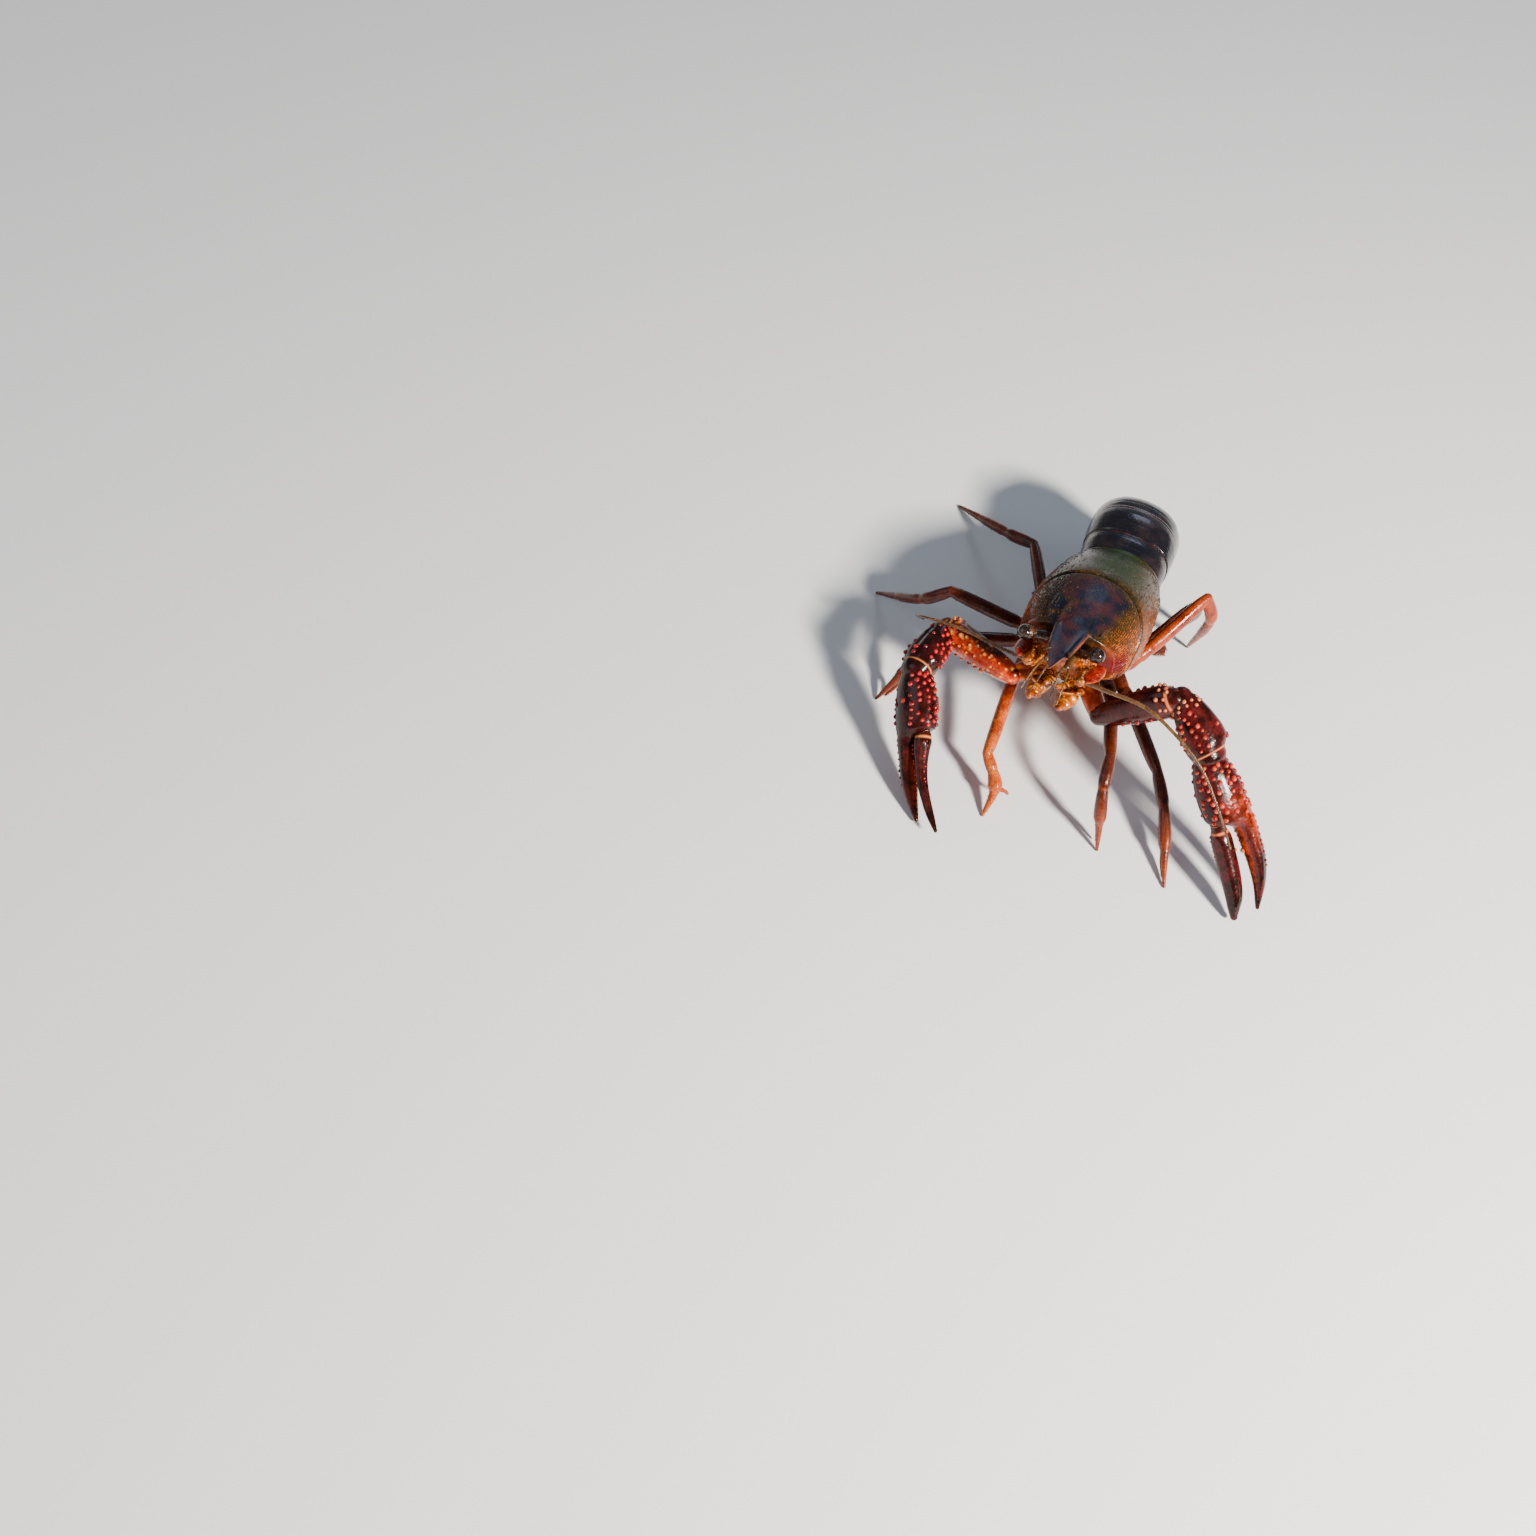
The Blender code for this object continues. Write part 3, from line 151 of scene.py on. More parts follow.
def knob_skin(
    spots, outward, lean, radius, height, rings=4, spokes=8, mark="knob", form=(2.4, 0.8), drawn=1.0,
):
    """Closed knobs: rings widen from the top to the root, falling as one minus a power of the share
    of the radius, leaning ahead with height and drawn out along the lean; the root is sunk."""
    count = len(spots)
    share = np.linspace(0.0, 1.0, rings + 1)[1:]
    fall = (1.0 - 0.999 * share ** form[0]) ** form[1]
    turn = np.linspace(0.0, 2.0 * np.pi, spokes, endpoint=False)
    side = unit(np.cross(outward, np.array((0.31, 0.87, 0.38)) if drawn == 1.0 else lean))
    other = np.cross(outward, side) * drawn
    round_way = side[:, None] * np.cos(turn)[:, None] + other[:, None] * np.sin(turn)[:, None]
    reach = (radius[:, None] * share)[:, :, None, None]
    rise = (height[:, None] * fall)[:, :, None, None]
    sunk = (0.35 * radius[:, None] * share**2)[:, :, None, None]
    top_way = (outward + lean)[:, None, None]
    ring_points = spots[:, None, None] + round_way[:, None] * reach + top_way * rise
    ring_points = ring_points - outward[:, None, None] * sunk
    top = spots + (outward + lean) * height[:, None]
    foot = spots - outward * (0.7 * radius)[:, None]
    points = np.concatenate((ring_points.reshape(count, -1, 3), top[:, None], foot[:, None]), axis=1)
    index = np.arange(rings * spokes).reshape(rings, spokes)
    after = np.roll(index, -1, axis=1)
    apex, bottom = rings * spokes, rings * spokes + 1
    faces = [np.stack((index[0], after[0], np.full(spokes, apex)), -1)]
    faces.append(np.stack((after[-1], index[-1], np.full(spokes, bottom)), -1))
    faces.append(np.stack((index[:-1], index[1:], after[1:]), -1).reshape(-1, 3))
    faces.append(np.stack((index[:-1], after[1:], after[:-1]), -1).reshape(-1, 3))
    one = np.concatenate(faces)
    per_knob = rings * spokes + 2
    faces = (one[None] + (np.arange(count) * per_knob)[:, None, None]).reshape(-1, 3)
    strength = np.concatenate((np.repeat(fall, spokes), [1.0, 0.0]))
    return {"points": points.reshape(-1, 3), "faces": faces, "marks": {mark: np.tile(strength, count)}}


def turned_out(points, faces):
    """Faces in the order that points them outward: the sum of their corner volumes is above zero."""
    a, b, c = points[faces[:, 0]], points[faces[:, 1]], points[faces[:, 2]]
    volume = np.einsum("ij,ij->i", a, np.cross(b, c)).sum()
    return faces if volume > 0.0 else faces[:, ::-1]


def add_piece(name, skins, material, nodes):
    """Joins skins into one mesh in metres, with an attribute for each mark, and ties it to the frame."""
    middle = skins[0]["points"].mean(axis=0)
    points = np.concatenate([skin["points"] for skin in skins])
    faces = []
    start = 0
    for skin in skins:
        faces.append(turned_out(skin["points"] - middle, skin["faces"]) + start)
        start += len(skin["points"])
    faces = np.concatenate(faces)
    mesh = bpy.data.meshes.new(name)
    mesh.vertices.add(len(points))
    mesh.vertices.foreach_set("co", ((points + STANCE_SHIFT) * METRE).astype(np.float32).ravel())
    mesh.loops.add(faces.size)
    mesh.loops.foreach_set("vertex_index", faces.astype(np.int32).ravel())
    mesh.polygons.add(len(faces))
    mesh.polygons.foreach_set("loop_start", np.arange(0, faces.size, 3, dtype=np.int32))
    for key in sorted({key for skin in skins for key in skin["marks"]}):
        values = [skin["marks"].get(key, np.zeros(len(skin["points"]))) for skin in skins]
        layer = mesh.attributes.new(key, "FLOAT", "POINT")
        layer.data.foreach_set("value", np.concatenate(values).astype(np.float32))
    mesh.update(calc_edges=True)
    mesh.validate()
    mesh.shade_smooth()
    mesh.materials.append(material)
    piece = bpy.data.objects.new(name, mesh)
    bpy.context.scene.collection.objects.link(piece)
    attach(piece, "root")
    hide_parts(*nodes)


def feed(tree, socket, value):
    """Links a socket to another, or gives it a plain number or colour."""
    if isinstance(value, bpy.types.NodeSocket):
        tree.links.new(value, socket)
    else:
        socket.default_value = (*value, 1.0) if isinstance(value, tuple) else value


def new_node(tree, kind, **settings):
    """A node with its named inputs fed and its other settings set."""
    node = tree.nodes.new(kind)
    for key, value in settings.items():
        if key in node.inputs:
            feed(tree, node.inputs[key], value)
        else:
            setattr(node, key, value)
    return node


def clouds(tree, scale, detail, roughness=0.5):
    """Cloudy noise at a scale, read at the object's own coordinates."""
    return new_node(
        tree, "ShaderNodeTexNoise", Vector=tree.nodes.new("ShaderNodeTexCoord").outputs["Object"],
        Scale=scale, Detail=detail, Roughness=roughness,
    ).outputs[0]


def colour_mix(tree, factor, first, second, blend="MIX"):
    """A colour mixed from two, each of them a socket or a plain colour."""
    node = new_node(tree, "ShaderNodeMix", data_type="RGBA", blend_type=blend)
    for index, value in ((0, factor), (6, first), (7, second)):
        feed(tree, node.inputs[index], value)
    return node.outputs[2]


def number(tree, operation, first, second):
    """One sum on two numbers or sockets."""
    node = new_node(tree, "ShaderNodeMath", operation=operation)
    for socket, value in zip(node.inputs, (first, second)):
        feed(tree, socket, value)
    return node.outputs[0]


def times(tree, first, second):
    """The product of two numbers or sockets."""
    return number(tree, "MULTIPLY", first, second)


def stretch(tree, value, low, high, start=0.0, end=1.0):
    """A number carried softly from one range to another."""
    node = new_node(tree, "ShaderNodeMapRange", interpolation_type="SMOOTHSTEP")
    for socket, given in zip(node.inputs, (value, low, high, start, end)):
        feed(tree, socket, given)
    return node.outputs[0]


# The inputs of the wet shell group; every finish gives its colours and sizes in this order.
SHELL_COLOURS = ("Deep", "Blotch", "Under", "Fleck And Glint", "Rim", "Knob", "Knob Top Highlight")
SHELL_SIZES = ("Blotch Scale", "Blotch Share", "Grain Scale", "Fleck And Glint Share")
SHELL_MARKS = {"under": "Under Mask", "knob": "Knob Mask", "rim": "Rim Mask"}


def wet_shell_group():
    """Node group of wet crayfish shell: blotches of a second colour over a deep one, small granules
    tipped with flecks that are partly the shell's own speckle and partly painted highlights, a coloured
    underside, coloured knobs and rims mottled by noise, a painted highlight on the knob tops, a darker
    and lighter grain over all, and the height of that grain."""
    tree = bpy.data.node_groups.new("wet_shell", "ShaderNodeTree")
    sockets = [(name, "INPUT", "Color") for name in SHELL_COLOURS]
    sockets += [(name, "INPUT", "Float") for name in (*SHELL_SIZES, *SHELL_MARKS.values())]
    sockets += [("Colour", "OUTPUT", "Color")]
    sockets += [(name, "OUTPUT", "Float") for name in ("Roughness", "Height")]
    for name, way, kind in sockets:
        tree.interface.new_socket(name, in_out=way, socket_type="NodeSocket" + kind)
    given = tree.nodes.new("NodeGroupInput").outputs
    cloud = clouds(tree, given["Blotch Scale"], 4.0, 0.6)
    threshold = number(tree, "SUBTRACT", 1.0, given["Blotch Share"])
    blotch_ends = number(tree, "SUBTRACT", threshold, 0.16), number(tree, "ADD", threshold, 0.12)
    blotch = stretch(tree, cloud, *blotch_ends)
    place = tree.nodes.new("ShaderNodeTexCoord").outputs["Object"]
    cell = new_node(
        tree, "ShaderNodeTexVoronoi", Vector=place, Scale=given["Grain Scale"], Randomness=0.95)
    granule = stretch(tree, cell.outputs["Distance"], 0.12, 0.62, 1.0, 0.0)
    fine = clouds(tree, 2900.0, 3.0, 0.6)
    patch = stretch(tree, clouds(tree, 520.0, 2.0, 0.6), 0.42, 0.62)
    fleck = times(tree, number(tree, "POWER", granule, 3.0), given["Fleck And Glint Share"])
    uneven = stretch(tree, clouds(tree, 420.0, 2.0, 0.6), 0.36, 0.58, 0.25, 1.0)
    knob = times(tree, stretch(tree, given["Knob Mask"], 0.10, 0.55), uneven)
    # The pale tops of the knobs are a painted highlight.
    top = times(tree, stretch(tree, given["Knob Mask"], 0.70, 1.0), uneven)
    under = colour_mix(tree, times(tree, blotch, 0.65), given["Under"], given["Deep"])
    colour = colour_mix(tree, blotch, given["Deep"], given["Blotch"])
    for share, laid in (
        (given["Under Mask"], under), (times(tree, fleck, patch), given["Fleck And Glint"]),
        (times(tree, given["Rim Mask"], uneven), given["Rim"]), (knob, given["Knob"]),
        (times(tree, top, 0.8), given["Knob Top Highlight"]),
    ):
        colour = colour_mix(tree, share, colour, laid)
    grey = tree.nodes.new("ShaderNodeCombineColor")
    shade = stretch(tree, fine, 0.3, 0.7, 0.55, 1.25)
    for socket in grey.inputs[:3]:
        feed(tree, socket, shade)
    found = tree.nodes.new("NodeGroupOutput").inputs
    feed(tree, found["Colour"], colour_mix(tree, 1.0, colour, grey.outputs[0], "MULTIPLY"))
    feed(tree, found["Roughness"], stretch(tree, cloud, 0.35, 0.7, 0.16, 0.36))
    feed(tree, found["Height"], number(tree, "ADD", times(tree, granule, 0.6), times(tree, fine, 0.4)))
    return tree


wet_shell = wet_shell_group()


def mark_of(tree, name):
    """A mark of the mesh, as a number for the shader."""
    return new_node(tree, "ShaderNodeAttribute", attribute_name=name).outputs["Fac"]


def new_material(name):
    """A new material, its node tree and the inputs of its shader."""
    material = bpy.data.materials.new(name)
    material.use_nodes = True
    return material, material.node_tree, material.node_tree.nodes["Principled BSDF"].inputs


def shell_material(name, colours, sizes, bump, coat=0.35, gloss=0.32):
    """A shell finish: the wet shell group with its own colours and sizes, read with the piece's marks.
    The last colour given also stands for those after it, such as knobs on a piece that has none."""
    material, tree, shader = new_material(name)
    look = new_node(tree, "ShaderNodeGroup", node_tree=wet_shell, name="look")
    colours = colours + colours[-1:] * (len(SHELL_COLOURS) - len(colours))
    for key, value in zip(SHELL_COLOURS + SHELL_SIZES, colours + sizes):
        feed(tree, look.inputs[key], value)
    for mark, socket in SHELL_MARKS.items():
        feed(tree, look.inputs[socket], mark_of(tree, mark))
    relief = new_node(
        tree, "ShaderNodeBump", Strength=bump, Distance=0.00025, Height=look.outputs["Height"])
    for socket, value in (
        ("Base Color", look.outputs["Colour"]), ("Roughness", look.outputs["Roughness"]),
        ("Normal", relief.outputs["Normal"]), ("Coat Weight", coat), ("Coat Roughness", 0.08),
        ("Specular IOR Level", gloss),
    ):
        feed(tree, shader[socket], value)
    return material


def paint(material, factor, colour):
    """Lays a colour over a finish, as far as a number or a named mark of the mesh says."""
    tree = material.node_tree
    base = tree.nodes["Principled BSDF"].inputs["Base Color"]
    share = mark_of(tree, factor) if isinstance(factor, str) else factor
    feed(tree, base, colour_mix(tree, share, base.links[0].from_socket, colour))


def carapace_skin(share, turn):
    """A place on the shield: share runs from the rear edge over the groove (0.5) to the front edge,
    turn goes round from the top. Above the widest line the section is an arch, below it a flat curl.
    Bells cut the groove and the seam of the back, and raise a crest behind each eye and a keel behind
    each rim of the snout."""
    low, side_turn = lowness(turn), np.abs(turn)
    groove = GROOVE_TOP + (GROOVE_SIDE - GROOVE_TOP) * np.minimum(1.0, 1.6 * low)
    front = CARAPACE_FRONT + (CHEEK_FRONT - CARAPACE_FRONT) * np.minimum(1.0, 1.3 * low)
    ahead = groove + (front - groove) * (share - 0.5) / 0.5
    forward = np.where(share < 0.5, groove * share / 0.5, ahead)
    top, edge = smooth_line(CARAPACE_TOP, forward), smooth_line(CARAPACE_EDGE, forward)
    half_width = smooth_line(CARAPACE_HALF_WIDTH, forward)
    middle = edge + 0.42 * (top - edge)
    along = np.cos(turn)
    out = soft_power(np.sin(turn), 0.92) * half_width
    arch = middle + np.abs(along) ** 0.9 * (top - middle)
    curl = middle - np.abs(along) ** 0.55 * (middle - edge)
    up = np.where(along > 0.0, arch, curl)
    away = np.abs(forward - groove)
    keep = 1.0 - GROOVE_DEPTH * bell(away, 0.0, GROOVE_WIDTH) * ease(2.2 - side_turn, 0.0, 0.5)
    keep = keep - 0.018 * bell(share, REAR_BAND, 0.010) + 0.004 * ease(REAR_BAND - share, 0.0, 0.02)
    seam = bell(turn, 0.0, 0.045) * ease(0.47 - share, 0.0, 0.06) * ease(share, 0.05, 0.1)
    crest = bell(side_turn, 0.44 + 0.7 * (share - 0.72), 0.075)
    crest = crest * ease(share, 0.68, 0.84) * ease(0.99 - share, 0.0, 0.06)
    keel = bell(side_turn, 0.29 + 0.5 * (share - 0.83), 0.055) * ease(share, 0.76, 0.97)
    keep = keep - SEAM_DEPTH * seam + CREST_HEIGHT * crest + KEEL_HEIGHT * keel
    return forward, out * keep, CARAPACE_CORE_HEIGHT + (up - CARAPACE_CORE_HEIGHT) * keep, away


def flank_mark(forward, low):
    """Grows down the flank and toward the head, where the olive shell turns orange-brown."""
    return ease(low, 0.06, 0.36) * ease(forward, 2.0, 19.0)


def cheek_mark(forward, low):
    """The deep red patch below and behind the eye: a bell down the side, easing in near the front."""
    return ease(forward, 25.5, 28.5) * bell(low, 0.50, 0.15)


def carapace_grid():
    """The shield's skin and its marks, on rings set closer at the groove and at the rear band."""
    share = np.concatenate((
        np.linspace(0.0, 0.09, 24), np.linspace(0.095, 0.45, 62), np.linspace(0.454, 0.546, 34),
        np.linspace(0.552, 1.0, 72)))
    share, turn = ring_grid(share, 220, -np.pi)
    forward, out, up, away = carapace_skin(share, turn)
    low = lowness(turn)
    rings = [body_to_floor(forward, out, up)]
    for ahead, shrink in LIP_RINGS:
        lip_up = LIP_LEVEL + (up[-1:] - LIP_LEVEL) * shrink
        rings.append(body_to_floor(forward[-1:] + ahead, out[-1:] * shrink, lip_up))
    marks = {
        "rim": 0.8 * ease(share, 0.965, 0.99) * ease(low, 0.15, 0.4),
        # The groove mark lays near-black painted shade along the groove.
        "groove": bell(away, 0.0, GROOVE_WIDTH) * ease(1.9 - np.abs(turn), 0.0, 1.0),
        "under": flank_mark(forward, low),
        "gastric": ease(forward, 17.5, 20.5) * ease(0.14 - low, 0.0, 0.09),
        "cheek": cheek_mark(forward, low),
        "midline": bell(low, 0.0, 0.055) * ease(16.5 - forward, 0.0, 3.0),
    }
    pad = ((0, len(LIP_RINGS)), (0, 0))
    marks = {key: np.pad(mark, pad, mode="edge") for key, mark in marks.items()}
    return wrap_skin(np.concatenate(rings), **marks)


def carapace_granules():
    """Granules over the flanks in rows that slant down toward the head, sharper on the cheek; their
    tips lean along the rows."""
    share = grit.uniform(0.07, 0.97, GRANULES)
    lane = grit.integers(-8, GRANULE_LANES, GRANULES) + grit.normal(0.0, 0.10, GRANULES)
    turn = (0.28 + 1.72 * (lane + 8.0 * share) / GRANULE_LANES) * grit.choice((-1.0, 1.0), GRANULES)
    forward, out, up, away = carapace_skin(share, turn)
    kept_share = ease(lowness(turn), 0.0, 0.16) * (0.30 + 0.70 * ease(forward, 10.0, 20.0))
    keep = (away > 0.9) & (np.abs(turn) > 0.2) & (grit.uniform(0.0, 1.0, GRANULES) < kept_share)
    share, turn = share[keep], turn[keep]
    forward, out, up, away = carapace_skin(share, turn)
    spots = body_to_floor(forward, out, up)
    ahead = body_to_floor(*carapace_skin(share + 0.01, turn)[:3]) - spots
    beside = body_to_floor(*carapace_skin(share, turn + 0.01)[:3]) - spots
    outward = unit(np.cross(beside, ahead))
    core = body_to_floor(forward, 0.0, CARAPACE_CORE_HEIGHT)
    outward = outward * np.sign(np.einsum("ij,ij->i", outward, spots - core))[:, None]
    low = lowness(turn)
    cheek = ease(forward, 22.0, 27.0) * ease(low, 0.25, 0.45)
    radius = grit.uniform(0.08, 0.15, len(share)) * (1.0 + 0.25 * cheek)
    height = radius * (0.8 + 0.4 * cheek)
    row = unit(unit(ahead) + 0.6 * unit(beside) * np.sign(turn)[:, None])
    skin = knob_skin(spots, outward, row * 0.6, radius, height, rings=2, spokes=6, drawn=2.6)
    per_knob = len(skin["points"]) // len(share)
    skin["marks"]["under"] = np.repeat(flank_mark(forward, low), per_knob)
    skin["marks"]["cheek"] = np.repeat(cheek_mark(forward, low), per_knob)
    return skin


carapace_finish = shell_material(
    "carapace_wet_olive",
    (
        (0.014, 0.014, 0.003), (0.034, 0.020, 0.004), (0.125, 0.021, 0.002), (0.50, 0.11, 0.006),
        (0.32, 0.050, 0.005), (0.060, 0.032, 0.005),
    ),
    (190.0, 0.5, 2500.0, 0.45), 0.22, coat=0.06, gloss=0.2,
)
tree = carapace_finish.node_tree
# Orange on the tips of the flank granules, in streaks: partly the granules' own colour and partly
# painted glints of light on the wet shell.
streak = stretch(tree, clouds(tree, 800.0, 1.0), 0.36, 0.60, 0.3, 1.0)
granule_tip_colour_and_glint = times(tree, times(tree, mark_of(tree, "knob"), mark_of(tree, "under")), streak)
# The gastric region, the top of the snout and the spines: a mottle of dark purple-brown, with a dark
# blue that is a painted reflection of the sky.
mottle_and_sky_sheen_share = times(tree, mark_of(tree, "gastric"), stretch(tree, clouds(tree, 330.0, 4.0), 0.28, 0.46))
mottle_and_sky_sheen_patch = stretch(tree, clouds(tree, 210.0, 2.5), 0.40, 0.64)
mottle_and_sky_sheen = colour_mix(tree, mottle_and_sky_sheen_patch, (0.005, 0.006, 0.014), (0.040, 0.011, 0.012))
for factor, colour in (
    (granule_tip_colour_and_glint, (0.70, 0.135, 0.004)), ("midline", (0.016, 0.026, 0.004)), (mottle_and_sky_sheen_share, mottle_and_sky_sheen),
    # Next: a blue-grey painted reflection of the sky on the snout's slopes, the cheek's own deep red,
    # and painted shade in the groove.
    ("slope", (0.034, 0.038, 0.060)), ("cheek", (0.11, 0.001, 0.001)), ("groove", (0.006, 0.005, 0.003)),
):
    paint(carapace_finish, factor, colour)
dry = number(tree, "ADD", tree.nodes["look"].outputs["Roughness"], 0.05)
feed(tree, tree.nodes["Principled BSDF"].inputs["Roughness"], dry)

# Rostrum: the pointed snout that the shield runs out into, cast in one piece with it, hollow along its
# middle, with a raised orange rim on each side. A tooth stands at each side of its tip, and a spine
# behind each eye and on each flank.
ROSTRUM_HALF_WIDTH = (
    (26, 3.2), (28, 3.4), (33, 3.4), (37, 2.9), (41, 2.1), (42, 1.4), (43.4, 0.85), (45, 0.25),
)
ROSTRUM_TOP = ((26, 18.3), (28, 17.9), (33, 16.9), (37, 15.8), (41, 14.8), (45, 13.8))
ROSTRUM_THICKNESS = ((26, 4.6), (28, 4.0), (33, 2.8), (37, 2.0), (41, 1.4), (45, 0.35))
ROSTRUM_RIM = 0.32
DOME_RINGS = 6
# Each spine: its root and the place it points at, on the body, its radius and its height.
CARAPACE_SPINES = (
    ((40.9, 1.9, 15.0), (42.8, 2.7, 14.9), 0.50, 1.6),
    ((31.3, 5.1, 16.1), (33.4, 5.2, 16.2), 0.50, 1.6),
    ((18.6, 10.8, 9.0), (19.6, 12.0, 9.2), 0.75, 1.2),
)


class Rod:
    """A length of limb: a smooth line through points, with an oval section whose half sizes run along
    it. A power above two makes the section squarer, and shift moves the line toward its side."""

    def __init__(self, points, side, sizes, power=2.0, shift=None):
        self.points = np.array(points, dtype=float)
        self.side = np.array(side, dtype=float)
        self.sizes = sizes
        self.power = power
        self.shift = shift
        steps = np.linalg.norm(np.diff(self.points, axis=0), axis=1)
        self.places = np.concatenate(([0.0], np.cumsum(steps))) / steps.sum()

    def line(self, place):
        """The smooth line through the rod's points at each share of its length."""
        return smooth_line(np.column_stack((self.places, self.points)), place)

    def centre(self, place):
        """The middle of the rod at each share of its length: its line, moved to its side."""
        centre = self.line(place)
        if self.shift is not None:
            centre = centre + unit(self.side) * smooth_line(self.shift, place)[..., None]
        return centre

    def frame(self, place):
        """The ways ahead, to the side and up at each share of its length."""
        place = np.asarray(place, dtype=float)
        ahead = unit(self.line(np.minimum(place + 0.01, 1.0)) - self.line(np.maximum(place - 0.01, 0.0)))
        side = unit(self.side - ahead * (ahead @ self.side)[..., None])
        return ahead, side, np.cross(ahead, side)

    def skin(self, place, turn, end_turn=0.0):
        """Points of the oval at a share and a turn round it, and the way out of the skin there.
        Past an end, end_turn shrinks the oval as a cosine and carries it ahead as a sine."""
        ahead, side, up = self.frame(place)
        wide, tall = [half[..., None] for half in np.moveaxis(smooth_line(self.sizes, place), -1, 0)]
        across = soft_power(np.cos(turn), 2.0 / self.power)[..., None]
        along = soft_power(np.sin(turn), 2.0 / self.power)[..., None]
        end_turn = np.asarray(end_turn, dtype=float)[..., None]
        shrink = np.maximum(np.cos(end_turn), 0.02)
        reach = np.sin(end_turn) * np.minimum(wide, tall)
        oval = (side * across * wide + up * along * tall) * shrink
        outward = unit(side * np.cos(turn)[..., None] / wide + up * np.sin(turn)[..., None] / tall)
        outward = unit(outward * shrink + ahead * np.sin(end_turn))
        return self.centre(place) + ahead * reach + oval, outward, ahead

    def grid(self, rows, count):
        """Places, turns, points and outward ways over the whole rod, with a dome at both ends."""
        dome = np.linspace(0.0, 0.5 * np.pi, DOME_RINGS + 1)[1:]
        ends = np.zeros(DOME_RINGS), np.ones(DOME_RINGS)
        place = np.concatenate((ends[0], np.linspace(0.0, 1.0, rows), ends[1]))
        end_turn = np.concatenate((-dome[::-1], np.zeros(rows), dome))
        place, turn = ring_grid(place, count)
        end_turn = np.broadcast_to(end_turn[:, None], place.shape)
        points, outward, ahead = self.skin(place, turn, end_turn)
        return place, turn, points, outward


def body_rod(route, sizes, way=(0.0, 0.0, 1.0), turn=1.0):
    """A rod given by (forward, out, up) places on the body, on its left or right side."""
    route = np.array(route, dtype=float)
    points = body_to_floor(route[:, 0], turn * route[:, 1], route[:, 2])
    side = body_to_floor(way[0], turn * way[1], way[2]) - body_to_floor(0.0, 0.0, 0.0)
    return Rod(points, side, sizes)


def rostrum_grid():
    """The snout: across it the top is hollow and rises to a rim near each side, which sinks back into
    the shield's arch; below it is a keel."""
    forward, turn = ring_grid(np.linspace(26.0, 45.0, 120), 96)
    half = smooth_line(ROSTRUM_HALF_WIDTH, forward)
    top = smooth_line(ROSTRUM_TOP, forward)
    thick = smooth_line(ROSTRUM_THICKNESS, forward)
    rim = np.minimum(ROSTRUM_RIM, 0.25 * half) * ease(forward, 31.5, 37.0)
    across = soft_power(np.cos(turn), 0.75)
    edge = bell(np.abs(across), 0.86, 0.15)
    upper = top + rim * (2.0 * edge - 1.0) - 0.75 * across**2 * ease(36.0 - forward, 0.0, 5.0)
    lower = top - thick * (0.35 + 0.8 * (1.0 - across**2))
    middle = top - 0.35 * thick
    rise = np.abs(np.sin(turn)) ** 0.45
    up = middle + np.where(np.sin(turn) > 0.0, upper - middle, lower - middle) * rise
    # The slope mark: a blue-grey painted reflection of the sky down the slopes of the snout, stronger on
    # its left side.
    slope = bell(np.abs(across), 0.62, 0.24) * ease(forward, 32.0, 36.0)
    marks = {
        "rim": 0.9 * bell(np.abs(across), 0.95, 0.06) * ease(forward, 30.0, 33.0),
        "gastric": 1.6 * (np.sin(turn) > -0.2) * ease(0.98 - np.abs(across), 0.0, 0.15),
        "slope": np.where(across > 0.0, 1.0, 0.3) * slope,
    }
    return wrap_skin(body_to_floor(forward, across * half, up), **marks)


def rod_skin(rod, rows, count, lift=None, **marks):
    """A rod's closed skin; lift moves it outward and marks are worked out from place, turn and the
    way out. The under mark grows as the skin turns down."""
    place, turn, points, outward = rod.grid(rows, count)
    if lift is not None:
        points = points + outward * lift(place, turn)[..., None]
    points[..., 2] = np.maximum(points[..., 2], 0.0)
    found = {"under": ease(-outward[..., 2], -0.35, 0.75)}
    for key, mark in marks.items():
        found[key] = mark(place, turn)
    return wrap_skin(points, **found)


def body_spine(root, aim, radius, height, turn):
    """One sharp spine, from a root toward an aim, both places on the body."""
    spot = body_to_floor(root[0], turn * root[1], root[2])
    outward = unit(body_to_floor(aim[0], turn * aim[1], aim[2]) - spot)
    return knob_skin(
        spot[None] - outward * 0.2, outward[None], outward[None] * 0.15, np.array([radius]),
        np.array([height]), rings=6, spokes=10, mark="gastric", form=(1.0, 1.4))


shield = [carapace_grid(), rostrum_grid(), carapace_granules()]
for turn in (1.0, -1.0):
    shield += [body_spine(*spine, turn) for spine in CARAPACE_SPINES]
add_piece("shell_carapace", shield, carapace_finish, ["carapace"])

# Underside: the breast plate between the legs and the face below the eyes, thinner orange-brown
# shell, grown in one piece with the shield's inner walls. It is covered with low warm granules.
UNDER_TOP = ((0, 6.0), (12, 6.0), (26, 8.0), (30, 11.0), (34.5, 13.4))
UNDER_BOTTOM = ((0, 3.2), (4, 1.0), (10, 0.0), (22, 0.0), (27, 1.2), (31, 4.2), (34.5, 7.2))
UNDER_HALF_WIDTH = ((0, 5.0), (6, 6.4), (12, 6.2), (22, 5.0), (27, 4.8), (31, 6.0), (34.5, 5.2))
RIB_PITCH = 4.6
FACE_KNOBS = 420
FACE_CORE_HEIGHT = 9.0


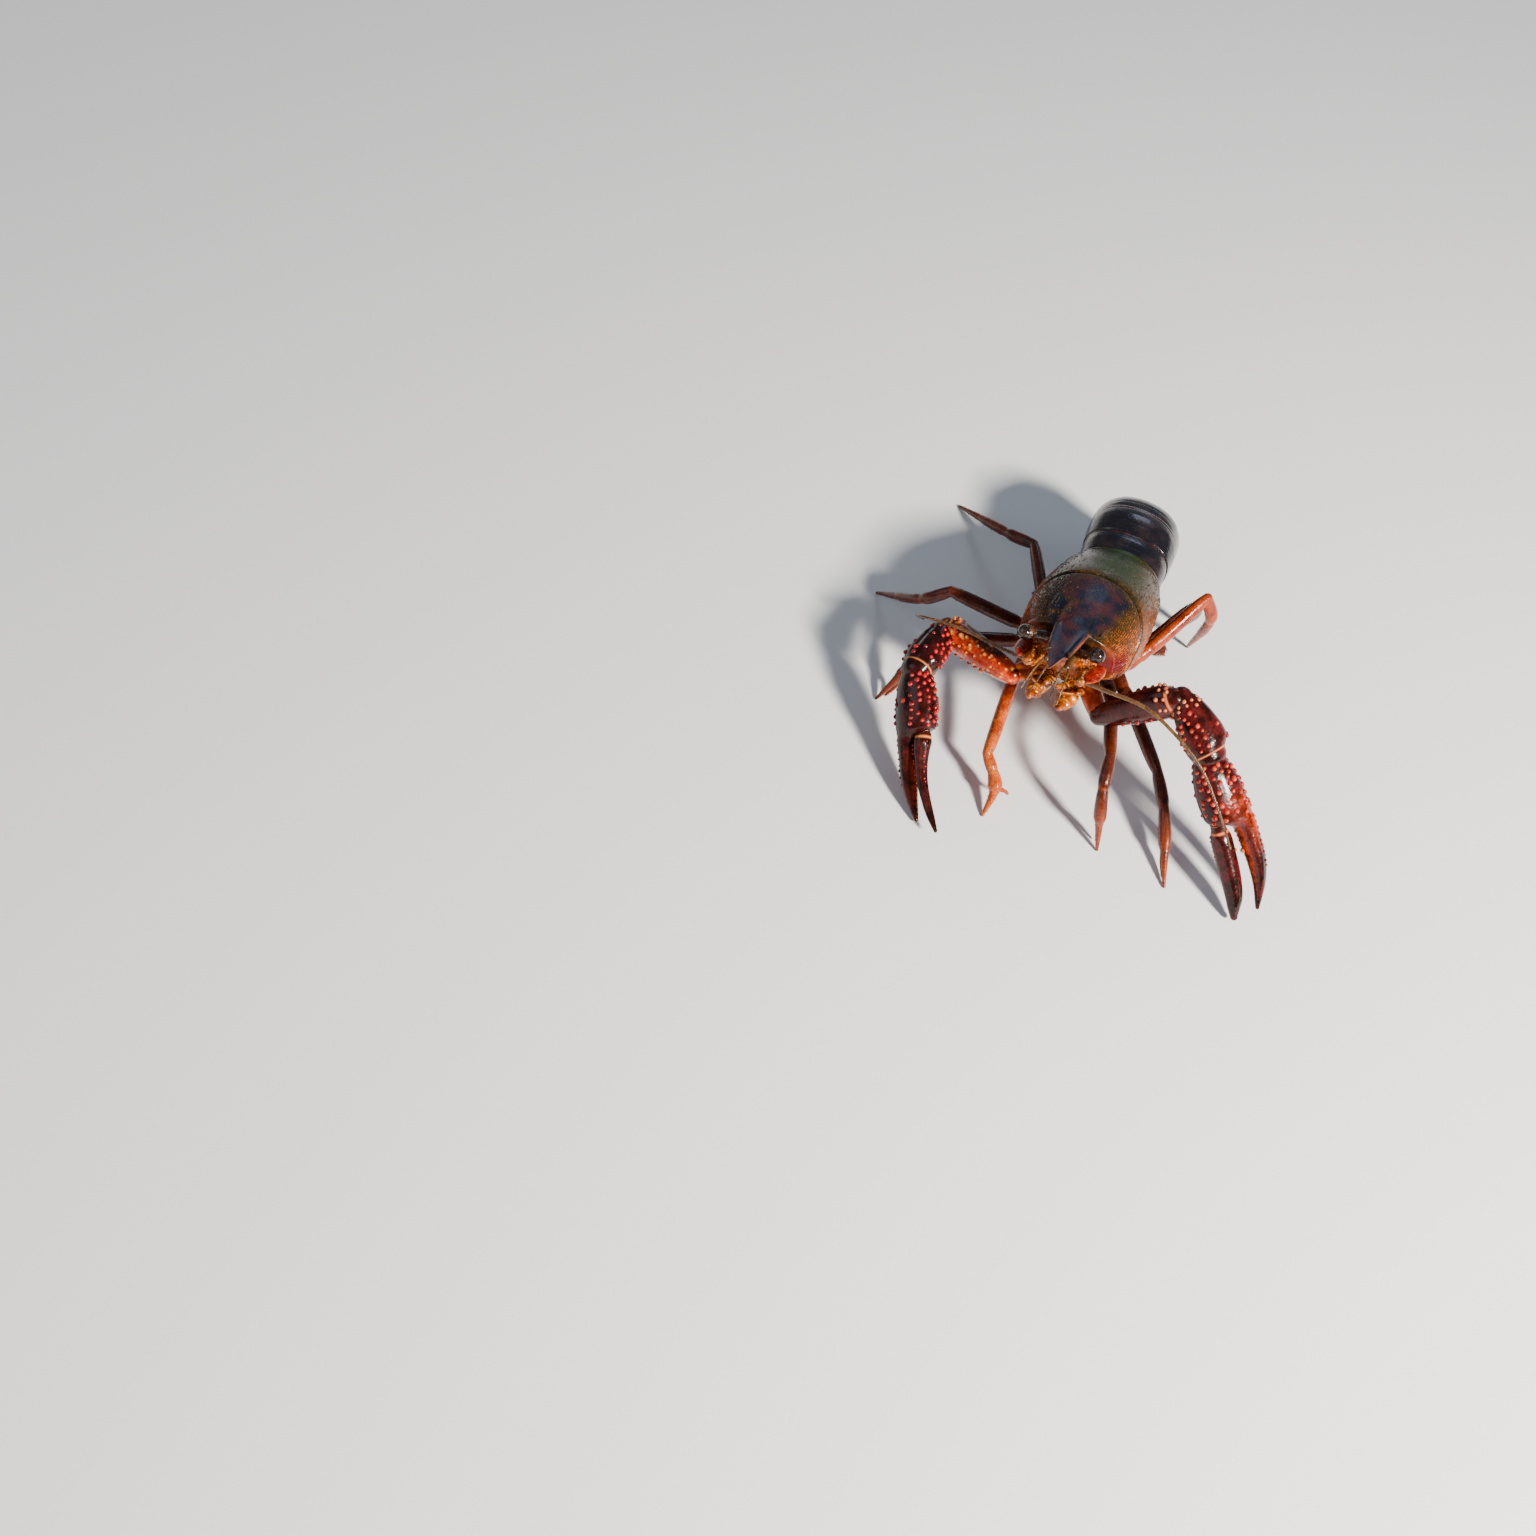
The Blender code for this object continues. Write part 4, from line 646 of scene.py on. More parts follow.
def under_place(forward, turn):
    """A squarish oval between the bottom and the top line of the breast plate, with low cosine ribs."""
    bottom, top = smooth_line(UNDER_BOTTOM, forward), smooth_line(UNDER_TOP, forward)
    half = smooth_line(UNDER_HALF_WIDTH, forward)
    ribs = 0.12 * np.cos(2.0 * np.pi * forward / RIB_PITCH) * ease(27.0 - forward, 0.0, 3.0)
    up = 0.5 * (top + bottom) + soft_power(np.sin(turn), 0.7) * (0.5 * (top - bottom) + ribs)
    return body_to_floor(forward, soft_power(np.cos(turn), 0.7) * (half + ribs), up)


def face_granules():
    """Low granules over the face, at random places between the eyes and the mouth, that lean ahead
    and down."""
    places = grit.uniform((28.5, 0.0), (34.3, 2 * np.pi), (FACE_KNOBS, 2))
    spots = under_place(places[:, 0], places[:, 1])
    core = body_to_floor(places[:, 0], 0.0, FACE_CORE_HEIGHT)
    radius = grit.uniform(0.12, 0.32, FACE_KNOBS)
    lean = 0.5 * unit(body_to_floor(1.0, 0.0, -0.6) - body_to_floor(0.0, 0.0, 0.0))
    return knob_skin(
        spots, unit(spots - core), np.tile(lean, (FACE_KNOBS, 1)), radius, radius, rings=3, spokes=6,
        drawn=1.5)


underside_finish = shell_material(
    "underside_warm",
    (
        (0.09, 0.008, 0.001), (0.36, 0.060, 0.002), (0.36, 0.06, 0.006), (0.95, 0.40, 0.02),
        (0.42, 0.065, 0.002), (0.72, 0.18, 0.003),
    ),
    (330.0, 0.5, 1900.0, 0.8), 0.5,
)
# Painted shade below the tip of the snout: the middle of the face turns near-black.
paint(underside_finish, "shade", (0.020, 0.006, 0.003))
forward, turn = ring_grid(np.linspace(0.6, 34.5, 150), 120)
shade = ease(forward, 29.0, 31.5) * bell(np.cos(turn), 0.0, 0.45) * ease(np.sin(turn), -0.6, 0.2)
under_skin = wrap_skin(under_place(forward, turn), rim=0.7 * ease(forward, 27.0, 31.0), shade=shade)
underside = [under_skin, face_granules()]
add_piece("shell_underside", underside, underside_finish, ["underside"])

# Abdomen: six arched plates of thick shell, hinged one behind the other by soft skin. Each is
# near-black and glossy, ends behind in a raised reddish rim, and hangs down at both sides in a lobe.
TAIL_RINGS = (
    # Length between hinges, bend in degrees, half width, height, depth of the side lobe.
    (6.6, -14.0, 8.8, 6.3, 4.8),
    (6.0, -11.0, 9.3, 7.0, 6.8),
    (6.2, 16.0, 9.4, 6.8, 6.6),
    (6.0, 62.0, 8.9, 5.8, 5.8),
    (5.8, 112.0, 8.1, 3.95, 4.6),
    (6.0, 158.0, 7.0, 3.0, 2.6),
)
TAIL_HINGE_HEIGHT = 11.0
TAIL_SWAY = -0.10
TAIL_BELLY_DEPTH = 3.0
TAIL_GAP = 0.3
# Steps along the half outline of a ring: over the arch, and down the lobe and under the belly.
TAIL_ARCH_STEPS = np.linspace(0.0, 4.0, 60)
TAIL_LOBE_STEPS = np.linspace(4.0, 11.0, 41)[1:]
TAIL_ARCH_TURNS = (90.0, 68.0, 46.0, 26.0, 10.0)
LOBE_THICKNESS = 0.8


def tail_hinges():
    """Hinges of the abdomen as (forward, up): each lies one length back along its ring's bend."""
    turns = np.radians([row[1] for row in TAIL_RINGS])
    lengths = np.array([row[0] for row in TAIL_RINGS])
    steps = np.stack((-np.cos(turns), -np.sin(turns)), -1) * lengths[:, None]
    first = np.array((0.0, TAIL_HINGE_HEIGHT))
    return np.concatenate(([first], first + np.cumsum(steps, axis=0)))


def tail_outline(half_width, height, depth, belly):
    """Half outline of a ring from its ridge to the middle of its belly, as (step, out, up) rows, with
    one mirrored row past each end so that the line crosses the middle level."""
    turn = np.radians(TAIL_ARCH_TURNS)
    lobe_out = 0.90 * half_width
    inner_out = lobe_out - LOBE_THICKNESS
    out = list(np.cos(turn) ** 0.85 * half_width)
    out += [half_width, 0.96 * half_width, lobe_out, inner_out, inner_out - TAIL_GAP]
    out += [0.40 * half_width, 0.0]
    up = list(np.sin(turn) ** 0.95 * height)
    up += [-0.25 * depth, -0.65 * depth, -depth, -0.96 * depth, -0.9 * belly, -belly, -belly]
    out[0] = 0.0
    out = [-out[1]] + out + [-out[-2]]
    up = [up[1]] + up + [up[-2]]
    return np.column_stack((np.arange(-1.0, len(out) - 1.0), out, up))


def tail_ring(index):
    """One plate between the mitre planes that it shares with its neighbours. Along it the arch swells
    at the outer side of a bend, dips at the line where the plate in front slides, and ends in a rim."""
    length, bend, half_width, height, depth = TAIL_RINGS[index]
    bends = np.radians([0.0] + [row[1] for row in TAIL_RINGS])
    front_turn = (0.5 if index else 1.0) * (bends[index + 1] - bends[index])
    rear_turn = 0.5 * (bends[min(index + 2, len(TAIL_RINGS))] - bends[index + 1])
    turn = bends[index + 1]
    back = np.array((-np.cos(turn), -np.sin(turn)))
    dorsal = np.array((-np.sin(turn), np.cos(turn)))
    swell = 0.04 + 0.20 * max(0.0, front_turn + rear_turn)
    share = np.linspace(0.0, 1.0, 54)
    lobe = np.sin(np.pi * (0.06 + 0.88 * share)) ** 0.7
    grown = np.minimum(1.0, share * 1.6)
    rise = 0.94 + 0.06 * grown + swell * np.sin(np.pi * share)
    rise = rise + 0.010 * ease(share, 0.90, 0.94) - 0.006 * bell(share, 0.89, 0.02)
    rise = rise - 0.006 * bell(share, 0.30, 0.04)
    wide = 0.965 + 0.035 * grown
    half_steps = np.concatenate((TAIL_ARCH_STEPS, TAIL_LOBE_STEPS))
    steps = np.concatenate((half_steps, half_steps[-2:0:-1]))
    mirror = np.where(np.arange(len(steps)) < len(half_steps), 1.0, -1.0)
    flat = smooth_line(tail_outline(half_width, height, 1.0, 1.0), steps)
    out = flat[:, 0] * mirror
    up_arch = np.maximum(flat[:, 1], 0.0)
    down = np.minimum(flat[:, 1], 0.0)
    ring_depth = TAIL_BELLY_DEPTH + (depth - TAIL_BELLY_DEPTH) * lobe
    inner = ease(steps, 8.3, 9.2)
    hang = ring_depth[:, None] * (1.0 - inner) + TAIL_BELLY_DEPTH * inner
    up = up_arch[None] * rise[:, None] + down[None] * hang
    out = out[None] * wide[:, None]
    front = -up * np.tan(front_turn) + 0.5 * TAIL_GAP
    rear = length + up * np.tan(rear_turn) - 0.5 * TAIL_GAP
    along = front + (rear - front) * share[:, None]
    origin = tail_hinges()[index]
    forward = origin[0] + back[0] * along + dorsal[0] * up
    height_up = origin[1] + back[1] * along + dorsal[1] * up
    points = body_to_floor(forward, out + TAIL_SWAY * np.maximum(0.0, -forward), height_up)
    points[..., 2] = np.maximum(points[..., 2], 0.0)
    low = ease(steps, 4.5, 7.5) * (1.0 - ease(steps, 8.6, 9.6))
    lobe_edge = 0.9 * low[None] * ease(np.abs(share - 0.5), 0.2, 0.5)[:, None]
    rim = np.maximum(ease(share, 0.90, 0.95)[:, None], lobe_edge)
    belly = ease(steps, 8.4, 9.4)[None]
    return wrap_skin(points, rim=rim * (1.0 - belly), under=np.maximum(0.75 * low, belly))


abdomen_finish = shell_material(
    "abdomen_wet_black",
    (
        (0.004, 0.004, 0.007), (0.015, 0.008, 0.009), (0.055, 0.011, 0.006), (0.05, 0.02, 0.015),
        (0.060, 0.010, 0.006),
    ),
    (210.0, 0.42, 2100.0, 0.3), 0.12, gloss=0.4,
)
for index in range(len(TAIL_RINGS)):
    ring_name = f"abdomen_{index + 1}"
    add_piece(f"shell_{ring_name}", [tail_ring(index)], abdomen_finish, [ring_name])

# Tail fan: a middle blade and two pairs of side blades, thin flat shell with a rib along the middle
# and fine rays toward the edge, fringed behind with stiff hairs. Here it lies flat on the floor.
FAN_THICKNESS = 0.9
FAN_STATIONS = (
    (0, 0.34), (0.12, 0.55), (0.32, 0.85), (0.55, 1.0), (0.78, 0.94), (0.92, 0.66), (1, 0.3),
)
FAN_BLADES = (
    # Name, swing from the middle in degrees, root out and ahead, length, half width.
    ("inner", 22.0, 4.0, 1.05, 9.6, 2.2),
    ("outer", 66.0, 6.3, 1.55, 9.4, 2.2),
)
SIDE_SIGN = {"left": 1.0, "right": -1.0}
TELSON = {"length": 9.7, "half_width": 3.1}
TELSON_SET_BACK = 0.06
FRINGE_HAIRS = 110
FRINGE_LENGTH = 0.9
FRINGE_HEIGHT = 0.28


def hair_skin(roots, heading, length, radius, bend):
    """Stiff tapered hairs of three sides: root, middle moved by the bend, and tip."""
    count = len(roots)
    side = unit(np.cross(heading, np.array((0.37, 0.21, 0.91))))
    other = np.cross(heading, side)
    turn = np.array((0.0, 2.0, 4.0)) * np.pi / 3.0
    ring = side[:, None] * np.cos(turn)[:, None] + other[:, None] * np.sin(turn)[:, None]
    middle = roots + heading * (0.55 * length)[:, None] + bend * 0.35
    tip = roots + heading * length[:, None] + bend
    rings = roots[:, None] + ring * radius, middle[:, None] + ring * (0.7 * radius), tip[:, None]
    points = np.concatenate(rings, axis=1).reshape(-1, 3)
    one = np.array((
        (0, 2, 1), (0, 1, 4), (0, 4, 3), (1, 2, 5), (1, 5, 4), (2, 0, 3), (2, 3, 5), (3, 4, 6),
        (4, 5, 6), (5, 3, 6)))
    faces = (one[None] + (np.arange(count) * 7)[:, None, None]).reshape(-1, 3)
    return {"points": points, "faces": faces, "marks": {"hair": np.ones(count * 7)}}


def fan_blade(root, swing, length, half_width):
    """A flat blade: its half width runs along it, its top swells to a rib in the middle and carries
    rays that fan out toward the rear edge. Hairs stand out all along the rear half of its edge."""
    heading = np.array((np.sin(swing), -np.cos(swing), 0.0))
    side = np.array((np.cos(swing), np.sin(swing), 0.0))
    share = np.concatenate((np.linspace(0.0, 0.9, 60), np.linspace(0.91, 1.0, 14)))
    share, turn = ring_grid(share, 96)
    half = smooth_line(FAN_STATIONS, share) * half_width
    across = soft_power(np.cos(turn), 0.85)
    thick = FAN_THICKNESS * (1.0 - 0.35 * share)
    rays = 0.05 * np.cos(across * 26.0) * ease(share, 0.35, 0.7) * ease(0.95 - np.abs(across), 0.0, 0.2)
    rib = 0.22 * bell(across, 0.0, 0.09) * (1.0 - 0.6 * share)
    top = thick * (np.abs(np.sin(turn)) ** 0.5 * (0.9 - 0.25 * across**2) + rib) + rays
    up = np.where(np.sin(turn) > 0.0, top, 0.0) + 0.3 * thick * np.abs(np.cos(turn)) ** 6
    suture = 0.10 * bell(share, 0.62, 0.012) * (np.sin(turn) > 0.0)
    points = root + heading * (share * length)[..., None] + side * (across * half)[..., None]
    points[..., 2] = np.maximum(up - suture, 0.0)
    marks = {"rim": ease(np.abs(across), 0.86, 0.98) + 0.0 * share, "under": 0.35 + 0.4 * share}
    edge = np.linspace(-1.0, 1.0, FRINGE_HAIRS)
    place = 1.0 - 0.62 * np.abs(edge) ** 1.6
    edge_half = smooth_line(FAN_STATIONS, place) * half_width
    roots = root + heading * (place * length - 0.12)[:, None]
    roots = roots + side * (np.sign(edge) * edge_half * ease(np.abs(edge), 0.0, 0.28) * 0.96)[:, None]
    roots[:, 2] = FRINGE_HEIGHT
    way = unit(heading * (1.0 - 0.75 * np.abs(edge))[:, None] + side * (0.95 * edge)[:, None])
    reach = FRINGE_LENGTH * grit.uniform(0.75, 1.1, len(edge))
    return [wrap_skin(points, **marks), hair_skin(roots, way, reach, 0.055, np.array((0.0, 0.0, -0.1)))]


fan_finish = shell_material(
    "tail_fan_shell",
    (
        (0.045, 0.014, 0.012), (0.14, 0.03, 0.014), (0.17, 0.035, 0.014), (0.3, 0.12, 0.05),
        (0.34, 0.08, 0.025),
    ),
    (420.0, 0.5, 2600.0, 0.4), 0.3,
)
paint(fan_finish, "hair", (0.20, 0.09, 0.035))
fan_forward, fan_up = tail_hinges()[-1]
fan_root = body_to_floor(fan_forward, TAIL_SWAY * max(0.0, -fan_forward), fan_up) * (1.0, 1.0, 0.0)
telson = fan_blade(fan_root + (0.0, TELSON_SET_BACK, 0.0), 0.0, **TELSON)
add_piece("shell_telson", telson, fan_finish, ["telson"])
for side, sign in SIDE_SIGN.items():
    for name, swing, out, ahead, length, half_width in FAN_BLADES:
        root = fan_root + (sign * out, -ahead, 0.0)
        blade = fan_blade(root, sign * np.radians(swing), length, half_width)
        node = f"tail_blade_{name}_{side}"
        add_piece(f"shell_{node}", blade, fan_finish, [node])

# Walking legs: four pairs of jointed tubes of thin glossy shell, red-brown above and orange below,
# pinched and paler at each joint. The first two pairs end in small pincers, the last two in claws.
# Where each pair is rooted on the body: forward, out and up. The first is the claw arms.
HIPS = {
    1: (25.0, 5.0, 2.2), 2: (21.0, 5.0, 1.6), 3: (16.5, 5.5, 1.2), 4: (11.5, 5.5, 1.2),
    5: (6.5, 5.2, 1.4),
}
HIP_INSET = 0.6
LEGS = {
    # First bend, knee, ankle and foot of each leg, over the floor.
    ("right", 2): ((-7.8, -8.3, 12.8), (-5.2, -28.2, 7.3), (-1.0, -32.1, 4.0), (-0.6, -36.7)),
    ("right", 3): ((-9.7, -1.6, 11.2), (-22.6, -10.4, 12.2), (-26.0, -14.8, 9.0), (-30.8, -23.0)),
    ("right", 4): ((-9.8, 2.9, 10.3), (-27.3, -1.9, 15.1), (-32.5, -2.7, 10.2), (-43.7, 2.2)),
    ("right", 5): ((-9.3, 9.7, 9.2), (-19.6, 25.0, 9.8), (-25.5, 27.1, 7.5), (-40.2, 35.6)),
    ("left", 2): ((9.0, -5.4, 13.2), (15.7, -22.4, 15.7), (17.4, -27.7, 12.2), (21.3, -31.7)),
    ("left", 3): ((9.8, -1.8, 12.8), (24.5, -17.0, 11.3), (29.1, -21.6, 7.0), (35.4, -32.3)),
    ("left", 4): ((9.9, 4.3, 12.3), (17.5, 19.7, 21.7), (19.9, 20.9, 15.8), (17.9, 26.5)),
    ("left", 5): ((9.4, 9.8, 9.8), (15.5, 23.5, 14.0), (16.5, 27.5, 9.5), (15.0, 31.5)),
}
LEG_UPPER_SIZES = (
    (0.0, 1.9, 1.9), (0.12, 1.8, 1.9), (0.24, 1.4, 1.5), (0.27, 1.3, 1.4), (0.30, 1.4, 1.5),
    (0.36, 1.25, 1.35), (0.39, 1.2, 1.3), (0.42, 1.3, 1.5), (0.48, 1.3, 1.55), (0.75, 1.3, 1.6),
    (0.92, 1.2, 1.4), (1.0, 1.0, 1.1),
)
LEG_LOWER_SIZES = (
    (0.0, 1.0, 1.1), (0.10, 1.15, 1.3), (0.25, 1.15, 1.3), (0.31, 0.95, 1.02), (0.38, 1.02, 1.12),
    (0.60, 0.9, 0.95), (0.68, 0.7, 0.76), (0.74, 0.68, 0.72), (0.90, 0.45, 0.45), (1.0, 0.3, 0.3),
)
PINCER_LEG_SIZES = (
    (0.0, 1.0, 1.1), (0.10, 1.2, 1.3), (0.25, 1.2, 1.3), (0.31, 1.0, 1.1), (0.40, 1.12, 1.22),
    (0.62, 1.2, 1.35), (0.70, 0.8, 0.9), (0.85, 0.55, 0.6), (1.0, 0.28, 0.28),
)
LAST_PINCER_PAIR = 3
# Root and tip of a pincer's moving finger: share of the lower length, and how far off its line.
PINCER = ((0.64, 0.5), (0.93, 1.5))
PINCER_ARCH = 0.55
PINCER_LOWEST = 0.6
OPEN_PINCER_LEG = ("right", 2)
OPEN_PINCER = ((0.55, 0.5), (0.61, 2.6))
FOOT_HEIGHT = 0.3
OPEN_PINCER_LEG_SIZES = (
    (0.0, 0.95, 1.0), (0.08, 1.1, 1.2), (0.22, 1.15, 1.25), (0.28, 1.05, 1.1), (0.4, 1.3, 1.35),
    (0.53, 1.4, 1.45), (0.62, 0.95, 1.0), (0.8, 0.62, 0.65), (1.0, 0.3, 0.3),
)
PINCER_SIZES = ((0.0, 0.5, 0.6), (0.5, 0.42, 0.45), (1.0, 0.26, 0.26))


def leg_rods(side, pair):
    """Upper and lower length of a leg, set to swing in the upright plane of the foot."""
    bend, knee, ankle, foot = [np.array(point) for point in LEGS[(side, pair)]]
    forward, out, up = HIPS[pair]
    hip = body_to_floor(forward, SIDE_SIGN[side] * (out - HIP_INSET), up)
    across = (foot[1] - bend[1], bend[0] - foot[0], 0.0)
    sizes = PINCER_LEG_SIZES if pair <= LAST_PINCER_PAIR else LEG_LOWER_SIZES
    if (side, pair) == OPEN_PINCER_LEG:
        sizes = OPEN_PINCER_LEG_SIZES
    lower = Rod((knee, ankle, (*foot, FOOT_HEIGHT)), across, sizes)
    return Rod((hip, bend, knee), across, LEG_UPPER_SIZES), lower


def pincer_rod(lower, is_open):
    """The small moving finger of a pincer leg, arched over the fixed one or held open beside it."""
    (root_place, root_reach), (tip_place, tip_reach) = OPEN_PINCER if is_open else PINCER
    _, side, up = lower.frame(root_place)
    way = -side if is_open else up
    root = lower.centre(root_place) + way * root_reach
    tip = lower.centre(tip_place) + way * tip_reach
    tip[2] = max(tip[2], PINCER_LOWEST)
    return Rod((root, 0.5 * (root + tip) + way * PINCER_ARCH, tip), side, PINCER_SIZES)


def joint_rims(*places):
    """A mark that is strong at the joints of a limb: a narrow bell at each."""
    return lambda place, turn: 0.7 * np.clip(sum(bell(place, at, 0.012) for at in places), 0.0, 1.0)


def scattered_hairs(rod, count, start, end, length, first=0.0, sweep=360.0):
    """Short hairs scattered over part of a rod, from a first turn over a sweep in degrees, leaning
    toward its end."""
    place = grit.uniform(start, end, count)
    turn = np.radians(grit.uniform(first, first + sweep, count))
    spots, outward, ahead = rod.skin(place, turn)
    lengths = length * grit.uniform(0.6, 1.2, count)
    hairs = hair_skin(spots - outward * 0.05, unit(outward + ahead * 1.1), lengths, 0.035, ahead * 0.1)
    hairs["points"][:, 2] = np.maximum(hairs["points"][:, 2], 0.0)
    return hairs


def hairy_shell(name, colours, sizes, bump, hair, coat=0.35, gloss=0.25, horn=(0.75, 0.26, 0.05)):
    """A shell finish whose hairs, and whose worn teeth of horn, have their own colours."""
    material = shell_material(name, colours, sizes, bump, coat, gloss)
    paint(material, "hair", hair)
    paint(material, "tooth", horn)
    return material


LEG_GRAIN = (300.0, 0.5, 3000.0, 0.35)
leg_finish = hairy_shell(
    "leg_red_brown",
    (
        (0.042, 0.006, 0.003), (0.100, 0.015, 0.004), (0.40, 0.050, 0.004), (0.26, 0.05, 0.010),
        (0.28, 0.045, 0.007),
    ),
    LEG_GRAIN, 0.22, (0.30, 0.12, 0.03), coat=0.15,
)
orange_leg_finish = hairy_shell(
    "leg_bright_orange",
    (
        (0.26, 0.022, 0.002), (0.55, 0.095, 0.006), (0.48, 0.080, 0.005), (0.80, 0.32, 0.06),
        (0.62, 0.20, 0.03),
    ),
    LEG_GRAIN, 0.22, (0.45, 0.20, 0.05), coat=0.3,
)
red_orange_finish = hairy_shell(
    "leg_red_orange",
    (
        (0.15, 0.010, 0.001), (0.34, 0.036, 0.002), (0.30, 0.036, 0.002), (0.56, 0.15, 0.01),
        (0.50, 0.09, 0.006),
    ),
    LEG_GRAIN, 0.22, (0.40, 0.16, 0.04), coat=0.2,
)
BRIGHT_LEGS = {("right", 2): orange_leg_finish, ("left", 4): red_orange_finish}
ORANGE_ENDS = (("left", 2), ("left", 3))


def orange_share(start, end, share):
    """A mark of the orange of a leg: it grows from one share of its length to another."""
    return lambda place, turn: share * ease(place, start, end)


for side, pair in LEGS:
    upper, lower = leg_rods(side, pair)
    finish = BRIGHT_LEGS.get((side, pair), leg_finish)
    low_orange, finger_orange = orange_share(0.0, 1.0, 0.3), orange_share(-1.0, 0.0, 0.3)
    if (side, pair) in ORANGE_ENDS:
        low_orange, finger_orange = orange_share(0.3, 0.9, 0.9), orange_share(-1.0, 0.0, 0.9)
    joints = joint_rims(0.31, 0.68) if pair > LAST_PINCER_PAIR else joint_rims(0.31)
    lengths = {
        "upper": [
            rod_skin(upper, 110, 40, rim=joint_rims(0.27, 0.39), under=orange_share(0.5, 1.0, 0.15)),
            scattered_hairs(upper, 30, 0.4, 0.95, 0.4),
        ],
        "lower": [
            rod_skin(lower, 120, 36, rim=joints, under=low_orange),
            scattered_hairs(lower, 110, 0.45, 0.98, 0.4),
        ],
    }
    if pair <= LAST_PINCER_PAIR:
        finger = pincer_rod(lower, (side, pair) == OPEN_PINCER_LEG)
        lengths["lower"] += [
            rod_skin(finger, 50, 20, under=finger_orange), scattered_hairs(finger, 40, 0.1, 0.95, 0.35)]
    for name, skins in lengths.items():
        node = f"leg_{pair}_{name}_{side}"
        add_piece(f"shell_{node}", skins, finish, [node])

# Claw arms: the great pincers, thick dark maroon shell set with bright red knobs. Each arm has five
# lengths that hinge in turn on soft orange skin; the last is the moving finger. Both fingers are
# ridged, toothed along the inside and polished black-red at the tip.
ARMS = {
    # First bend, elbow, wrist and tip of each arm, over the floor.
    "right": ((-7.8, -16.2, 16.8), (-23.3, -13.4, 17.6), (-24.2, -24.2, 15.6), (-10.3, -45.2, 1.4)),
    "left": ((10.3, -15.8, 16.8), (21.6, -14.9, 29.0), (31.1, -19.1, 23.8), (51.5, -29.4, 3.0)),
}
ARM_HIP_INSET = 0.8
CLAW_ACROSS = {"right": (0.73, 0.01, 0.68), "left": (-0.63, -0.71, -0.31)}
ISCHIUM_SIZES = ((0, 2.2, 2.3), (0.4, 2.1, 2.2), (0.75, 1.9, 2.1), (1, 1.6, 1.7))
MERUS_SIZES = (
    (0, 1.8, 1.9), (0.12, 2.1, 2.5), (0.4, 2.5, 3.1), (0.75, 2.7, 3.5), (0.93, 2.5, 3.2), (1, 2.0, 2.4),
)
CARPUS_SIZES = ((0, 2.0, 2.1), (0.15, 2.8, 2.7), (0.45, 3.7, 3.2), (0.8, 4.1, 3.3), (1, 3.2, 2.7))
PALM_SIZES = (
    (0.0, 2.1, 1.9), (0.04, 2.9, 2.4), (0.12, 3.8, 2.9), (0.22, 4.3, 3.1), (0.33, 4.4, 3.1),
    (0.405, 4.1, 2.9), (0.43, 3.1, 2.7), (0.47, 2.2, 2.4), (0.58, 1.9, 2.1), (0.72, 1.65, 1.8),
    (0.86, 1.15, 1.25), (0.95, 0.7, 0.75), (1.0, 0.4, 0.4),
)
FINGER_SIZES = {
    "right": (
        (0.0, 1.4, 1.6), (0.08, 1.65, 1.8), (0.3, 1.2, 1.35), (0.6, 0.95, 1.1), (0.85, 0.75, 0.8),
        (1.0, 0.35, 0.35),
    ),
    "left": (
        (0.0, 1.4, 1.6), (0.08, 1.85, 1.95), (0.3, 1.9, 1.85), (0.6, 1.8, 1.7), (0.85, 1.4, 1.35),
        (1.0, 0.7, 0.7),
    ),
}
CLAW_SQUARENESS = 2.2
FINGER_TEETH = 15
FINGER_START = 0.45
FINGER_REACH = {"right": 1.08, "left": 1.00}
# How far the moving finger stands off the claw's line, and how far its middle lifts off their plane.
FINGER_OUT = {
    "right": ((0, 1.5), (0.15, 1.2), (0.34, 1.3), (0.5, 1.6), (0.67, 2.2), (0.84, 2.95), (1.0, 3.9)),
    "left": ((0, 1.9), (0.15, 2.0), (0.5, 2.3), (0.8, 2.9), (1.0, 4.0)),
}
FINGER_LIFT = {"right": 0.7, "left": 0.0}
# How far the wrist piece stands off the line from elbow to wrist.
CARPUS_OUT = {
    "right": ((0, 0.0), (1.0, 0.0)),
    "left": ((0, -1.2), (0.3, -1.2), (0.8, -1.0), (1.0, -0.4)),
}
FIXED_FINGER_OUT = {"right": 2.0, "left": 2.8}


def straight(start, end):
    """A straight route with its middle."""
    return start, 0.5 * (start + end), end


